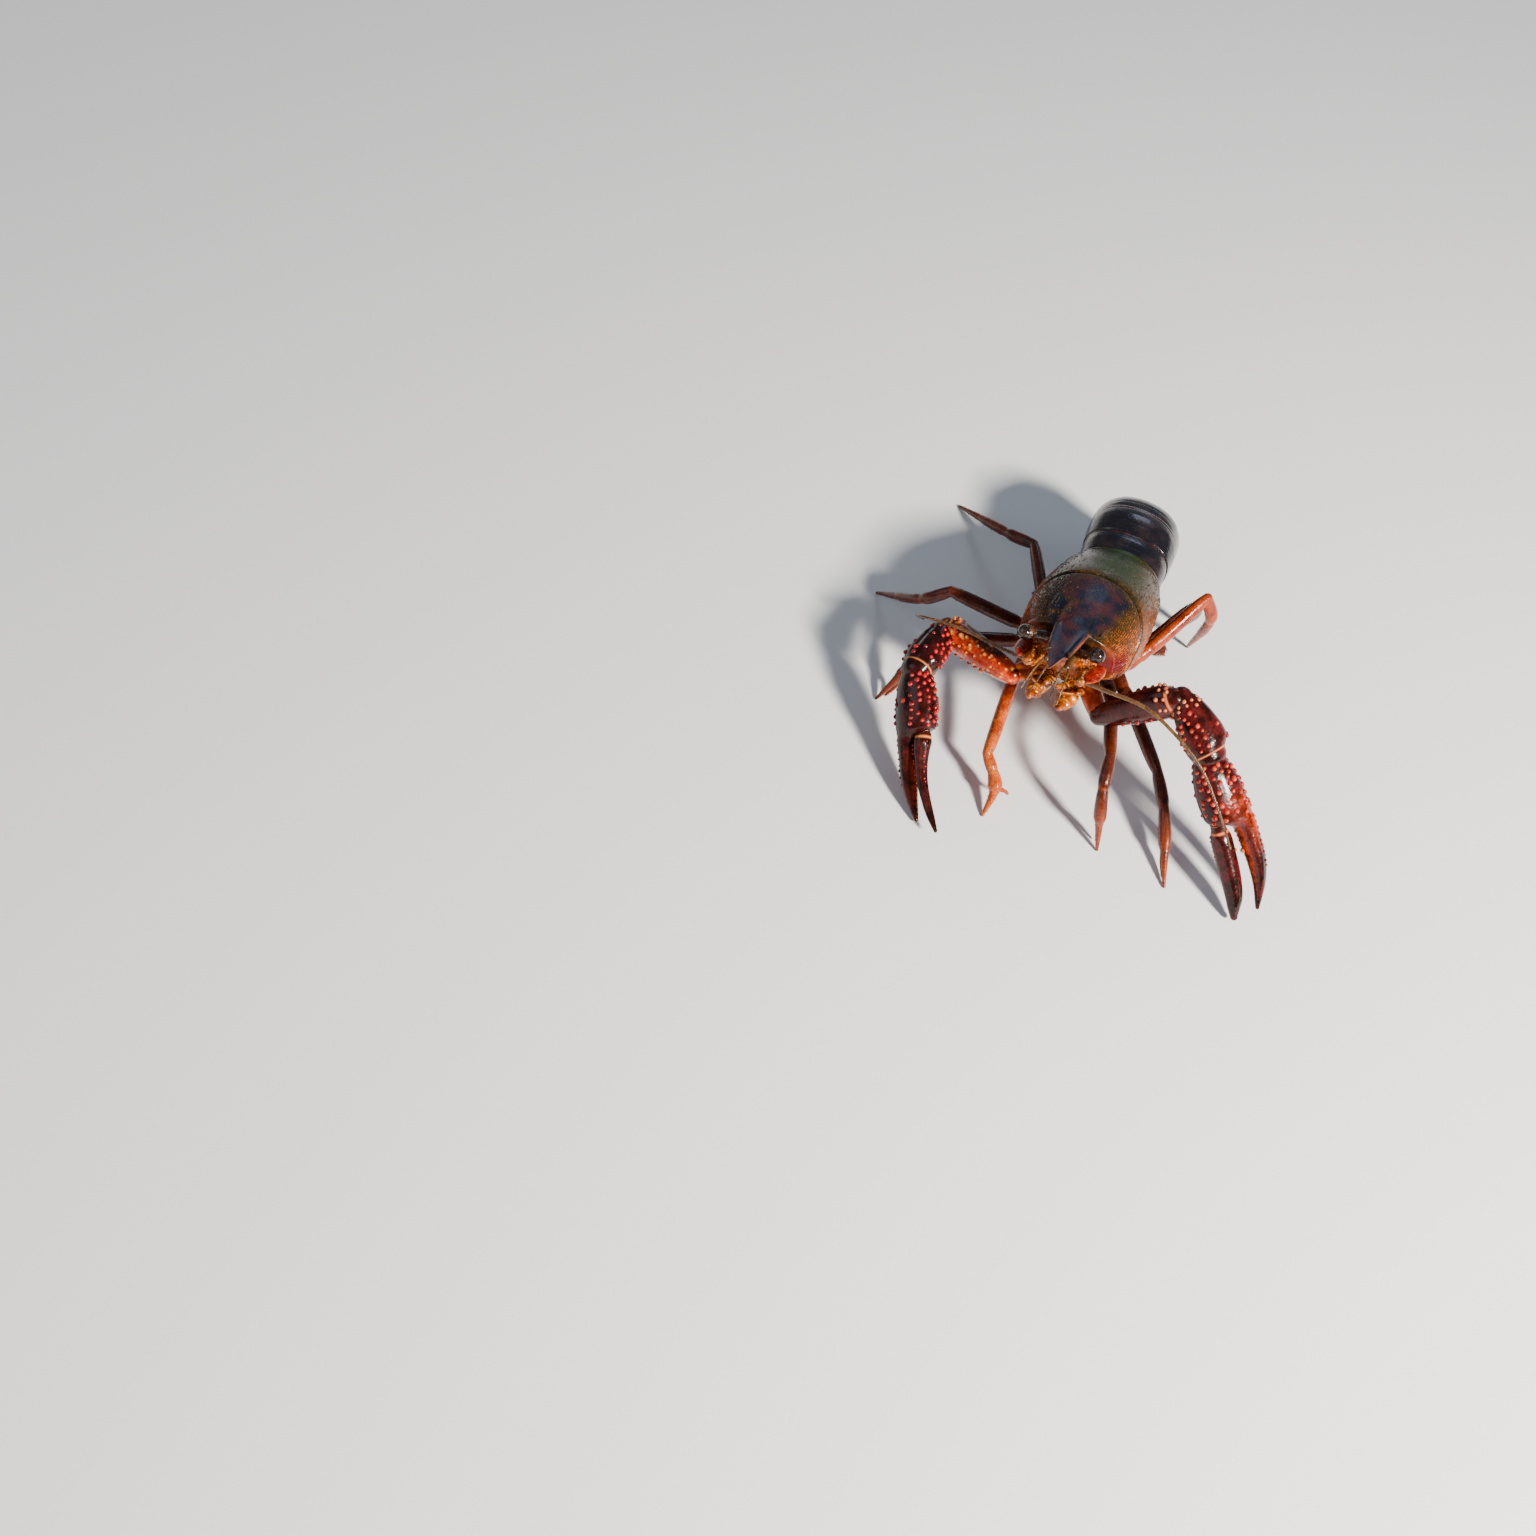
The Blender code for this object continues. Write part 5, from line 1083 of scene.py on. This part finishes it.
def arm_rods(side):
    """The five lengths of an arm, from the body out; both fingers bow off the line between them."""
    bend, elbow, wrist, tip = [np.array(point) for point in ARMS[side]]
    forward, out, up = HIPS[1]
    hip = body_to_floor(forward, SIDE_SIGN[side] * (out - ARM_HIP_INSET), up)
    level = np.cross(elbow - bend, (0.0, 0.0, 1.0))
    across = CLAW_ACROSS[side]
    bow = FIXED_FINGER_OUT[side]
    lean = max(0.0, bow - FIXED_FINGER_OUT["right"])
    palm_shift = (
        (0, 0), (0.22, -0.1 - 0.1 * lean), (0.33, -0.2 - 0.2 * lean), (0.405, -0.4 - 0.4 * lean),
        (0.43, 0.9 - bow), (0.47, -bow),
        (0.58, -1.1 * bow), (0.72, -1.1 * bow), (0.86, -0.85 * bow), (1.0, -0.7),
    )
    along = tip - wrist
    start, middle, end = straight(wrist + along * FINGER_START, wrist + along * FINGER_REACH[side])
    finger_route = (start, middle + unit(np.cross(along, across)) * FINGER_LIFT[side], end)
    return {
        "ischium": Rod(straight(hip, bend), level, ISCHIUM_SIZES),
        "merus": Rod(straight(bend, elbow), level, MERUS_SIZES),
        "carpus": Rod(straight(elbow, wrist), across, CARPUS_SIZES, shift=CARPUS_OUT[side]),
        "palm": Rod(straight(wrist, tip), across, PALM_SIZES, CLAW_SQUARENESS, palm_shift),
        "finger": Rod(finger_route, across, FINGER_SIZES[side], CLAW_SQUARENESS, FINGER_OUT[side]),
    }


def knob_field(rod, start, end, steps, lanes, first, sweep, radius, height, keep=1.0, mark="knob"):
    """Knobs in staggered lanes round a rod, each moved, turned and sized a little at random."""
    step, lane = np.indices((steps, lanes)).reshape(2, -1)
    drift = grit.uniform(-0.22, 0.22, step.size)
    place = np.clip(start + (end - start) * (step + 0.5 * (lane % 2) + drift) / steps, start, end)
    turn = np.radians(first + sweep * lane / lanes + grit.uniform(-9.0, 9.0, step.size))
    size = grit.uniform(0.7, 1.15, step.size)
    chosen = grit.uniform(0.0, 1.0, step.size) < keep
    place, turn, size = place[chosen], turn[chosen], size[chosen]
    spots, outward, ahead = rod.skin(place, turn)
    return knob_skin(
        spots, outward, ahead * 0.45, radius * size, height * size, rings=4, spokes=9, mark=mark)


def tooth_row(rod, start, end, turn, big, big_size, radii, heights):
    """Blunt teeth along the inner edge of a finger, evenly smaller toward its tip but for a big one.
    The sizes are the radius and the height of the big tooth, then of the first and the last tooth."""
    is_big = np.arange(FINGER_TEETH) == big
    radius = np.where(is_big, big_size[0], np.linspace(*radii, FINGER_TEETH))
    height = np.where(is_big, big_size[1], np.linspace(*heights, FINGER_TEETH))
    places = np.linspace(start, end, FINGER_TEETH)
    spots, outward, ahead = rod.skin(places, np.full(FINGER_TEETH, np.radians(turn)))
    return knob_skin(
        spots - outward * 0.12, outward, ahead * 0.1, radius, height, rings=4, spokes=9, mark="tooth")


def finger_ridges(start, depth):
    """A lift that draws four smooth ridges along a finger, from a share of its length on."""
    def lift(place, turn):
        """A cosine round the finger, eased in and out along it."""
        ridges = depth * np.cos(4.0 * turn) * ease(place, start, start + 0.1)
        return ridges * ease(0.97 - place, 0.0, 0.15)
    return lift


# The orange-red strips of the fixed finger: the turn of the middle, the width, the start, the end and
# the strength of each.
GAP_STRIPS = {
    "right": ((0.2, 0.55, 0.50, 1.10, 0.85),),
    "left": ((-2.3, 0.62, 0.20, 0.72, 0.75), (-0.5, 0.40, 0.40, 0.95, 0.85)),
}


def gap_strip(side):
    """A mark of the strips: each is a bell round its middle turn, eased in and out along the finger."""
    def mark(place, turn):
        """The strips' strength at a share of the length and a turn round it."""
        found = 0.0 * place
        for middle, width, start, end, share in GAP_STRIPS[side]:
            away = np.arctan2(np.sin(turn - middle), np.cos(turn - middle))
            strip = share * bell(away, 0.0, width) * ease(place, start, start + 0.10)
            found = np.maximum(found, strip * ease(end - place, 0.0, 0.25))
        return found
    return mark


def hinge_band(place, turn):
    """The bright band across the root of the moving finger: a narrow bell."""
    return bell(place, 0.025, 0.012)


def end_rim(place, turn):
    """A bright rim just before the far end of an arm piece: a bell along it."""
    return 0.9 * bell(place, 0.970, 0.010)


def carpus_groove(place, turn):
    """The long groove down the upper face of the wrist piece."""
    return -0.30 * bell(turn, 0.5 * np.pi, 0.16) * ease(place, 0.1, 0.3) * ease(0.95 - place, 0.0, 0.2)


# The knobs of each palm and wrist piece: the first turn in degrees, the sweep, the lanes, the share
# that is kept.
PALM_KNOBS = {
    "right": ((-50.0, 150.0, 6, 0.95), (100.0, 190.0, 7, 0.30)),
    "left": ((24.0, 130.0, 5, 0.85), (154.0, 200.0, 8, 0.95)),
}
CARPUS_KNOBS = {
    "right": ((-70.0, 120.0, 5, 0.85), (60.0, 220.0, 7, 0.25)),
    "left": ((-80.0, 110.0, 4, 0.85), (40.0, 230.0, 7, 0.30)),
}
# The yellow tubercles on the front of the bright upper arm.
FRONT_KNOBS = {"right": ((165.0, 105.0, 3, 0.85),), "left": ()}
# How much of that bright front each upper arm shows: on the left it is kept low as painted shade.
FRONT_SHARE_LIT_AND_SHADED = {"right": 1.0, "left": 0.15}
ELBOW_MARK = {"right": "knob", "left": "tooth"}
MERUS_GRID = (80, 64)


def front_colour_and_light_mark(rod, share):
    """A mark that grows as the skin turns forward and down: the bright orange-red of an arm's front,
    partly its own colour and partly painted light on the face turned toward the key.
    """
    outward = rod.grid(*MERUS_GRID)[3]
    return lambda place, turn: share * ease(-0.8 * outward[..., 1] - 0.35 * outward[..., 2], -0.1, 0.55)


def knob_patches(rod, start, end, steps, radius, height, patches):
    """Knobs in the patches of a table of first turn, sweep, lanes and the share that is kept."""
    return [
        knob_field(rod, start, end, steps, lanes, first, sweep, radius, height, keep=keep)
        for first, sweep, lanes, keep in patches
    ]


# The blotches, knobs, painted highlights of the knob tops and horn of each claw.
CLAW_COLOURS = {
    "right": ((0.045, 0.004, 0.003), (0.33, 0.005, 0.009), (0.62, 0.038, 0.034), (0.75, 0.24, 0.06)),
    "left": ((0.080, 0.005, 0.005), (0.42, 0.014, 0.009), (0.72, 0.110, 0.055), (0.78, 0.20, 0.07)),
}


def claw_material(side):
    """Near-black maroon shell with the knobs of its side: deep pink-red, or salmon."""
    blotch, knob, knob_top_highlight, horn = CLAW_COLOURS[side]
    return hairy_shell(
        f"claw_dark_maroon_{side}",
        (
            (0.012, 0.002, 0.001), blotch, (0.080, 0.005, 0.003), (0.14, 0.012, 0.008),
            (0.50, 0.040, 0.003), knob, knob_top_highlight,
        ),
        (260.0, 0.45, 1500.0, 0.3),
        0.13, (0.25, 0.10, 0.03), coat=0.12, gloss=0.2, horn=horn,
    )


claw_finishes = {side: claw_material(side) for side in ARMS}
arm_finish = hairy_shell(
    "arm_orange_red",
    (
        (0.040, 0.003, 0.002), (0.08, 0.007, 0.003), (0.66, 0.038, 0.001), (1.0, 0.36, 0.015),
        (0.62, 0.11, 0.008), (0.66, 0.085, 0.004), (1.0, 0.44, 0.06),
    ),
    (420.0, 0.5, 800.0, 1.0),
    0.25, (0.35, 0.15, 0.05), coat=0.3,
)
joint_skin_finish = shell_material(
    "joint_soft_skin",
    (
        (0.035, 0.004, 0.002), (0.13, 0.014, 0.004), (0.10, 0.015, 0.005), (0.7, 0.28, 0.08),
        (0.5, 0.1, 0.05), (0.6, 0.2, 0.1),
    ),
    (700.0, 0.5, 3500.0, 0.3),
    0.4, coat=0.2,
)
# The left upper arm takes the dark claw finish in place of the bright one: painted shade.
MERUS_FINISH_LIT_AND_SHADED = {"right": arm_finish, "left": claw_finishes["left"]}
# The soft skin between two lengths of an arm, and its radius.
FOLDS = (("merus", "carpus", 1.6), ("carpus", "palm", 1.8), ("palm", "finger", 1.35))
FOLD_SET_BACK = 2.2


def wrinkles(place, turn):
    """A lift that draws fine rings round the soft skin: a cosine along it."""
    return 0.06 * np.cos(place * 40.0)


for side in ARMS:
    rods = arm_rods(side)
    front_colour_and_light = front_colour_and_light_mark(rods["merus"], FRONT_SHARE_LIT_AND_SHADED[side])
    elbow_mark = ELBOW_MARK[side]
    pieces = {
        "ischium": [rod_skin(rods["ischium"], 60, 44, rim=joint_rims(1.0))],
        "merus": [
            rod_skin(rods["merus"], *MERUS_GRID, tooth=end_rim, under=front_colour_and_light),
            *knob_patches(rods["merus"], 0.18, 0.90, 6, 0.42, 0.24, FRONT_KNOBS[side]),
            knob_field(rods["merus"], 0.30, 0.86, 6, 3, 25.0, 310.0, 0.58, 0.50),
            knob_field(rods["merus"], 0.86, 1.0, 2, 9, 0.0, 360.0, 0.55, 0.50, mark=elbow_mark),
        ],
        "carpus": [
            rod_skin(rods["carpus"], 80, 72, lift=carpus_groove, tooth=end_rim),
            *knob_patches(rods["carpus"], 0.24, 0.92, 6, 0.58, 0.42, CARPUS_KNOBS[side]),
            knob_field(rods["carpus"], 0.06, 0.22, 2, 10, 0.0, 360.0, 0.44, 0.32, mark=elbow_mark),
        ],
        "palm": [
            rod_skin(rods["palm"], 240, 96, lift=finger_ridges(0.50, 0.10), rim=gap_strip(side)),
            *knob_patches(rods["palm"], 0.04, 0.40, 8, 0.66, 0.42, PALM_KNOBS[side]),
            knob_field(rods["palm"], 0.42, 0.80, 9, 3, 150.0, 90.0, 0.36, 0.22),
            tooth_row(rods["palm"], 0.50, 0.95, 0.0, 4, (0.75, 0.75), (0.5, 0.28), (0.38, 0.2)),
            scattered_hairs(rods["palm"], 50, 0.50, 0.97, 0.3),
        ],
        "finger": [
            rod_skin(rods["finger"], 150, 72, lift=finger_ridges(0.05, 0.10), tooth=hinge_band),
            knob_field(rods["finger"], 0.07, 0.55, 9, 2, 18.0, 226.0, 0.33, 0.22),
            tooth_row(rods["finger"], 0.10, 0.92, 180.0, 3, (0.62, 0.55), (0.48, 0.26), (0.34, 0.18)),
            scattered_hairs(rods["finger"], 40, 0.1, 0.97, 0.3),
        ],
    }
    finishes = {"ischium": orange_leg_finish, "merus": MERUS_FINISH_LIT_AND_SHADED[side]}
    for name, skins in pieces.items():
        finish = finishes.get(name, claw_finishes[side])
        add_piece(f"shell_claw_{name}_{side}", skins, finish, [f"claw_{name}_{side}"])
    folds = []
    for inner, outer, radius in FOLDS:
        start = rods[inner].centre(0.9)
        if inner == "palm":
            start = rods["finger"].centre(0.0) - rods["finger"].frame(0.0)[0] * FOLD_SET_BACK
        narrow = radius * 0.85
        sizes = ((0, narrow, narrow), (0.5, radius, radius), (1, narrow, narrow))
        fold = Rod(straight(start, rods[outer].centre(0.08)), CLAW_ACROSS[side], sizes)
        folds.append(rod_skin(fold, 40, 32, lift=wrinkles))
    add_piece(f"joint_skin_{side}", folds, joint_skin_finish, [])

# Head: on each side a jointed feeler base with its pointed scale, a small forked feeler, and the
# mouth limb folded below them; all of thin orange-yellow shell with stiff hairs along the edges.
HEAD_LIMBS = {
    # Route as (forward, out, up) on the body, half sizes along it, way of the first half size.
    "base": (
        ((32.6, 4.6, 8.6), (35.0, 5.0, 8.6), (38.2, 5.2, 9.4)),
        (
            (0, 1.9, 1.9), (0.3, 1.8, 1.8), (0.42, 1.4, 1.4), (0.5, 1.5, 1.5), (0.75, 1.4, 1.4),
            (1, 1.1, 1.1),
        ), (0, 0, 1),
    ),
    "scale": (
        ((33.2, 7.3, 10.4), (37.1, 6.95, 10.8), (41.0, 6.6, 11.2)),
        ((0, 0.5, 1.0), (0.3, 0.34, 1.5), (0.7, 0.28, 1.4), (0.92, 0.22, 0.7), (1, 0.15, 0.15)),
        (0, 0, 1),
    ),
    "antennule": (
        ((34.6, 1.9, 11.0), (36.4, 1.95, 11.0), (38.2, 2.0, 11.0)),
        ((0, 1.0, 1.0), (0.45, 0.8, 0.8), (1, 0.65, 0.65)), (0, 0, 1),
    ),
    "mouth": (
        ((25.5, 2.1, 0.2), (32.0, 3.1, 0.8), (38.0, 3.0, 2.0)),
        (
            (0, 1.4, 1.1), (0.35, 1.9, 1.4), (0.52, 1.8, 1.35), (0.6, 1.3, 1.05), (0.72, 1.45, 1.2),
            (0.84, 1.05, 0.9), (1, 0.6, 0.55),
        ), (0, 1, 0),
    ),
    "side_palp": (
        ((27.0, 3.3, 1.2), (31.0, 4.9, 2.6), (35.0, 4.7, 4.4)),
        ((0, 0.8, 0.7), (0.5, 0.65, 0.5), (0.85, 0.45, 0.4), (1, 0.25, 0.25)), (0, 1, 0),
    ),
    "palp": (
        ((27.0, 1.7, 0.9), (31.5, 1.4, 2.4), (35.4, 1.2, 4.6)),
        ((0, 0.9, 0.8), (0.5, 0.85, 0.8), (1, 0.5, 0.45)), (0, 1, 0),
    ),
}
WHIPS = ((0.35, 2.2, 7.5), (-0.45, 3.4, 6.0))
WHIP_SIZES = ((0, 0.24, 0.24), (0.5, 0.19, 0.19), (1, 0.13, 0.13))
WHIP_ROOT = 0.85
PALP_WHIP_SIZES = ((0, 0.25, 0.25), (0.5, 0.2, 0.2), (1, 0.12, 0.12))
# On the face the bright yellow flecks are mostly painted highlights of the wet lumps.
head_finish = hairy_shell(
    "head_orange_yellow",
    (
        (0.15, 0.012, 0.001), (0.52, 0.110, 0.002), (0.36, 0.045, 0.001), (1.0, 0.52, 0.03),
        (0.84, 0.32, 0.01), (0.74, 0.20, 0.003),
    ),
    (560.0, 0.5, 1500.0, 0.9),
    0.25, (0.50, 0.17, 0.02), coat=0.5,
)
scale_finish = hairy_shell(
    "feeler_scale_red",
    (
        (0.15, 0.003, 0.001), (0.40, 0.012, 0.002), (0.20, 0.012, 0.002), (0.90, 0.30, 0.04),
        (0.60, 0.09, 0.004), (0.72, 0.10, 0.01),
    ),
    (480.0, 0.5, 1700.0, 0.7),
    0.3, (0.50, 0.17, 0.02), coat=0.5,
)
feeler_finish = hairy_shell(
    "feeler_olive_brown",
    (
        (0.080, 0.033, 0.010), (0.155, 0.066, 0.018), (0.13, 0.055, 0.016), (0.32, 0.16, 0.05),
        (0.040, 0.016, 0.007), (0.3, 0.1, 0.05),
    ),
    (600.0, 0.5, 4000.0, 0.4),
    0.15, (0.2, 0.1, 0.05),
)


def ring_lift(rings, depth):
    """A lift that rings a whip as fine beads, each bead bulging between two pinched joints."""
    return lambda place, turn: depth * (np.abs(np.sin(np.pi * rings * place)) ** 0.6 - 0.6)


def pressed_joints(*places):
    """A lift that presses the skin in at each joint of a mouth limb, and swells it just behind."""
    def lift(place, turn):
        """One bell up and one bell down for each joint."""
        return sum(0.12 * bell(place, at - 0.05, 0.04) - 0.30 * bell(place, at, 0.018) for at in places)
    return lift


def ring_mark(rings):
    """A mark at the pinched joints of a ringed whip."""
    return lambda place, turn: np.abs(np.cos(np.pi * rings * place)) ** 10


def scale_rim(place, turn):
    """A mark along both edges of the feeler scale: it grows with the sine of the turn."""
    return ease(np.abs(np.sin(turn)), 0.75, 0.98)


def whip_of_palp(palp, sign):
    """The short ringed whip of a side palp: it leaves the palp's end and bends inward over the mouth."""
    begin = palp.centre(0.95)
    middle = begin + (-1.1 * sign, -1.5, 0.9)
    end = begin + (-2.8 * sign, -2.2, 0.8)
    return Rod((begin, middle, end), (0.0, 0.0, 1.0), PALP_WHIP_SIZES)


for side in ARMS:
    sign = SIDE_SIGN[side]
    limbs = {name: body_rod(*limb, turn=sign) for name, limb in HEAD_LIMBS.items()}
    base = [
        rod_skin(limbs["base"], 90, 48, rim=joint_rims(0.42, 0.8)),
        knob_field(limbs["base"], 0.05, 0.75, 5, 5, 0.0, 360.0, 0.34, 0.24, keep=0.7),
        scattered_hairs(limbs["base"], 60, 0.2, 0.9, 0.5),
    ]
    add_piece(f"shell_antenna_base_{side}", base, head_finish, [f"antenna_base_{side}"])
    scale = [
        rod_skin(limbs["scale"], 70, 40, rim=scale_rim),
        scattered_hairs(limbs["scale"], 90, 0.1, 0.98, 0.8, 90.0 * sign - 14.0, 28.0),
    ]
    node = f"antenna_scale_{side}"
    add_piece(f"shell_{node}", scale, scale_finish, [node])
    # The stem is laid all over in the finish's dark rim colour: painted shade below the snout.
    stem = [rod_skin(limbs["antennule"], 50, 28, rim=lambda place, turn: 0.0 * place + 0.9)]
    for out, drop, reach in WHIPS:
        begin = limbs["antennule"].centre(WHIP_ROOT) + (sign * out, 0.0, 0.0)
        middle = begin + (sign * (out + 0.3), -0.5 * reach, 0.1)
        end = begin + (sign * (out + 0.9), -reach, -drop)
        whip = Rod((begin, middle, end), (0.0, 0.0, 1.0), WHIP_SIZES)
        stem.append(rod_skin(whip, 260, 12, lift=ring_lift(32, 0.02), rim=ring_mark(32)))
    add_piece(f"shell_antennule_{side}", stem, feeler_finish, [f"antennule_{side}"])
    palp_whip = whip_of_palp(limbs["side_palp"], sign)
    mouth = [
        rod_skin(
            limbs["mouth"], 120, 56, lift=pressed_joints(0.30, 0.58, 0.84),
            rim=joint_rims(0.27, 0.54, 0.80)),
        rod_skin(limbs["palp"], 70, 32, lift=pressed_joints(0.38, 0.72), rim=joint_rims(0.34, 0.68)),
        rod_skin(limbs["side_palp"], 60, 24, lift=pressed_joints(0.55), rim=joint_rims(0.5, 0.95)),
        rod_skin(palp_whip, 90, 12, lift=ring_lift(14, 0.02), rim=ring_mark(14)),
        scattered_hairs(limbs["mouth"], 110, 0.45, 0.98, 0.8, 150.0, 60.0),
        scattered_hairs(limbs["palp"], 70, 0.4, 0.98, 0.7),
        knob_field(limbs["mouth"], 0.05, 0.8, 7, 6, 0.0, 360.0, 0.34, 0.20, keep=0.4),
    ]
    add_piece(f"shell_maxilliped_{side}", mouth, head_finish, [f"maxilliped_{side}"])

# Eyes: a polished dark globe on each short movable stalk, held in the shell's orbit. The globe is a
# mosaic of tiny lenses; the stalk's soft cup grips its rear.
EYE_RADIUS = 1.45
EYE_PLACES = {"right": (36.2, 7.7, 13.4), "left": (36.0, 6.2, 14.3)}
STALK_ROOT = (33.8, 3.4, 13.2)
STALK_SIZES = ((0, 1.1, 1.1), (0.5, 0.9, 0.9), (1, 1.1, 1.1))
CUP_SIZES = ((0, 1.0, 1.0), (0.5, 1.38, 1.38), (1, 1.50, 1.50))


def globe_skin(centre, radius, axis):
    """A ball of rings about an axis: cosine across, sine along."""
    side = unit(np.cross(axis, (0.0, 0.0, 1.0)))
    up = np.cross(axis, side)
    tilt, turn = ring_grid(np.linspace(-0.495, 0.495, 60) * np.pi, 72)
    around = side * np.cos(turn)[..., None] + up * np.sin(turn)[..., None]
    outward = axis * np.sin(tilt)[..., None] + around * np.cos(tilt)[..., None]
    return wrap_skin(centre + radius * outward)


def eye_material():
    """Polished globe: near-black lenses in a fine honeycomb, under a clear wet coat."""
    material, tree, shader = new_material("eye_polished_globe")
    place = tree.nodes.new("ShaderNodeTexCoord").outputs["Object"]
    lens = new_node(tree, "ShaderNodeTexVoronoi", Vector=place, Scale=9000.0, Randomness=0.25)
    glow = stretch(tree, clouds(tree, 900.0, 2.0), 0.35, 0.7)
    relief = new_node(
        tree, "ShaderNodeBump", Strength=0.08, Distance=0.00005, Height=lens.outputs["Distance"])
    for socket, value in (
        ("Base Color", colour_mix(tree, glow, (0.006, 0.004, 0.004), (0.034, 0.018, 0.010))),
        ("Normal", relief.outputs["Normal"]), ("Roughness", 0.15), ("Specular IOR Level", 0.3),
        ("Coat Weight", 0.5), ("Coat Roughness", 0.03),
    ):
        feed(tree, shader[socket], value)
    return material


eye_finish = eye_material()
stalk_finish = shell_material(
    "eyestalk_dark_brown",
    (
        (0.020, 0.010, 0.006), (0.07, 0.025, 0.010), (0.22, 0.05, 0.012), (0.45, 0.14, 0.03),
        (0.05, 0.03, 0.02), (0.3, 0.1, 0.04),
    ),
    (700.0, 0.5, 2600.0, 0.4),
    0.4,
)
for side in ARMS:
    sign = SIDE_SIGN[side]
    forward, out, up = EYE_PLACES[side]
    eye = body_to_floor(forward, sign * out, up)
    stalk = body_rod(straight(np.array(STALK_ROOT), np.array(EYE_PLACES[side])), STALK_SIZES, turn=sign)
    axis = unit(stalk.frame(1.0)[0])
    globe = globe_skin(eye, EYE_RADIUS, axis)
    add_piece(f"globe_eye_{side}", [globe], eye_finish, [f"eye_{side}"])
    cup = Rod(straight(eye - axis * 1.7, eye - axis * 0.35), stalk.side, CUP_SIZES)
    skins = [rod_skin(stalk, 50, 32), wrap_skin(cup.grid(20, 48)[2][DOME_RINGS:-DOME_RINGS])]
    add_piece(f"shell_eyestalk_{side}", skins, stalk_finish, [f"eyestalk_{side}"])

# Long feelers: a tapering whip of hundreds of short rings on each side, olive-brown and flexible,
# rooted in the feeler base. Here both lie swept out over the claws.
FEELER_ROUTES = {
    "left": (
        (10.0, -20.5, 29.2), (17.7, -20.6, 29.8), (24.5, -22.0, 28.4),
        (31.2, -23.7, 25.3), (37.1, -26.4, 20.5), (42.4, -28.4, 14.4),
    ),
    "right": (
        (-10.8, -16.6, 22.8), (-17.6, -16.0, 22.3), (-24.0, -16.2, 21.7),
        (-28.3, -15.3, 19.6), (-30.0, -12.6, 16.2), (-29.2, -9.6, 12.8),
    ),
}
FEELER_SIZES = ((0, 0.42, 0.42), (1, 0.20, 0.20))
for side, route in FEELER_ROUTES.items():
    root = body_rod(*HEAD_LIMBS["base"], turn=SIDE_SIGN[side]).centre(1.0)
    whip = Rod((root,) + route, (0.0, 0.0, 1.0), FEELER_SIZES)
    skins = [
        rod_skin(whip, 900, 16, lift=ring_lift(90, 0.025), rim=ring_mark(90)),
        scattered_hairs(whip, 160, 0.05, 0.97, 0.35),
    ]
    add_piece(f"whip_antenna_{side}", skins, feeler_finish, [f"antenna_{side}"])

# Floor, light and camera: a plain pale floor, a broad soft key from the right as the sun stood, a
# fill and a low back light for the wet edges, and the camera above and in front of the animal.
CAMERA_PLACE = np.array((26.8, -217.7, 248.8))
CAMERA_AHEAD = unit(np.array((-0.219, 0.546, -0.809)))
CAMERA_UP = np.array((-0.452, 0.678, 0.580))
CAMERA_LENS = 37.5
SENSOR_WIDTH = 36.0


def floor_material():
    """Pale matte floor with the faintest unevenness."""
    material, tree, shader = new_material("pale_floor")
    pale = colour_mix(tree, clouds(tree, 3.0, 2.0), (0.83, 0.83, 0.82), (0.87, 0.87, 0.86))
    feed(tree, shader["Base Color"], pale)
    feed(tree, shader["Roughness"], 0.6)
    return material


def stand_at(name, thing, place, ahead, up):
    """Stands a lamp or a camera at a place, looking ahead, its head as near to up as can be."""
    holder = bpy.data.objects.new(name, thing)
    bpy.context.scene.collection.objects.link(holder)
    side = unit(np.cross(ahead, up))
    stand = np.eye(4)
    stand[:3, 0], stand[:3, 1], stand[:3, 2] = side, np.cross(side, ahead), -ahead
    stand[:3, 3] = place
    holder.matrix_world = Matrix(stand.tolist())
    return holder


def soft_light(name, place, aim, size, power, colour):
    """A square soft light at a place, turned toward an aim."""
    lamp = bpy.data.lights.new(name, "AREA")
    lamp.shape = "SQUARE"
    lamp.size = size
    lamp.energy = power
    lamp.color = colour
    stand_at(name, lamp, place, unit(np.array(aim) - np.array(place)), (0.0, 0.0, 1.0))


floor_mesh = bpy.data.meshes.new("floor")
floor_mesh.from_pydata([(-3, -3, 0), (3, -3, 0), (3, 3, 0), (-3, 3, 0)], [], [(0, 1, 2, 3)])
floor_mesh.materials.append(floor_material())
floor = bpy.data.objects.new("floor", floor_mesh)
bpy.context.scene.collection.objects.link(floor)
soft_light("key", (0.44, -0.21, 0.36), (0.0, 0.0, 0.01), 0.08, 12.0, (1.0, 0.95, 0.88))
soft_light("fill", (-0.50, -0.35, 0.40), (0.0, 0.0, 0.01), 0.4, 0.8, (0.84, 0.90, 1.0))
soft_light("back", (-0.10, 0.60, 0.45), (0.0, 0.0, 0.02), 0.2, 0.5, (0.62, 0.74, 1.0))
world = bpy.data.worlds.new("studio")
world.use_nodes = True
world.node_tree.nodes["Background"].inputs["Color"].default_value = (0.80, 0.88, 1.0, 1.0)
world.node_tree.nodes["Background"].inputs["Strength"].default_value = 0.22
bpy.context.scene.world = world

lens = bpy.data.cameras.new("camera")
lens.lens = CAMERA_LENS
lens.sensor_width = SENSOR_WIDTH
lens.clip_start = 0.01
lens.clip_end = 20.0
place = (CAMERA_PLACE + STANCE_SHIFT) * METRE
bpy.context.scene.camera = stand_at("camera", lens, place, CAMERA_AHEAD, CAMERA_UP)
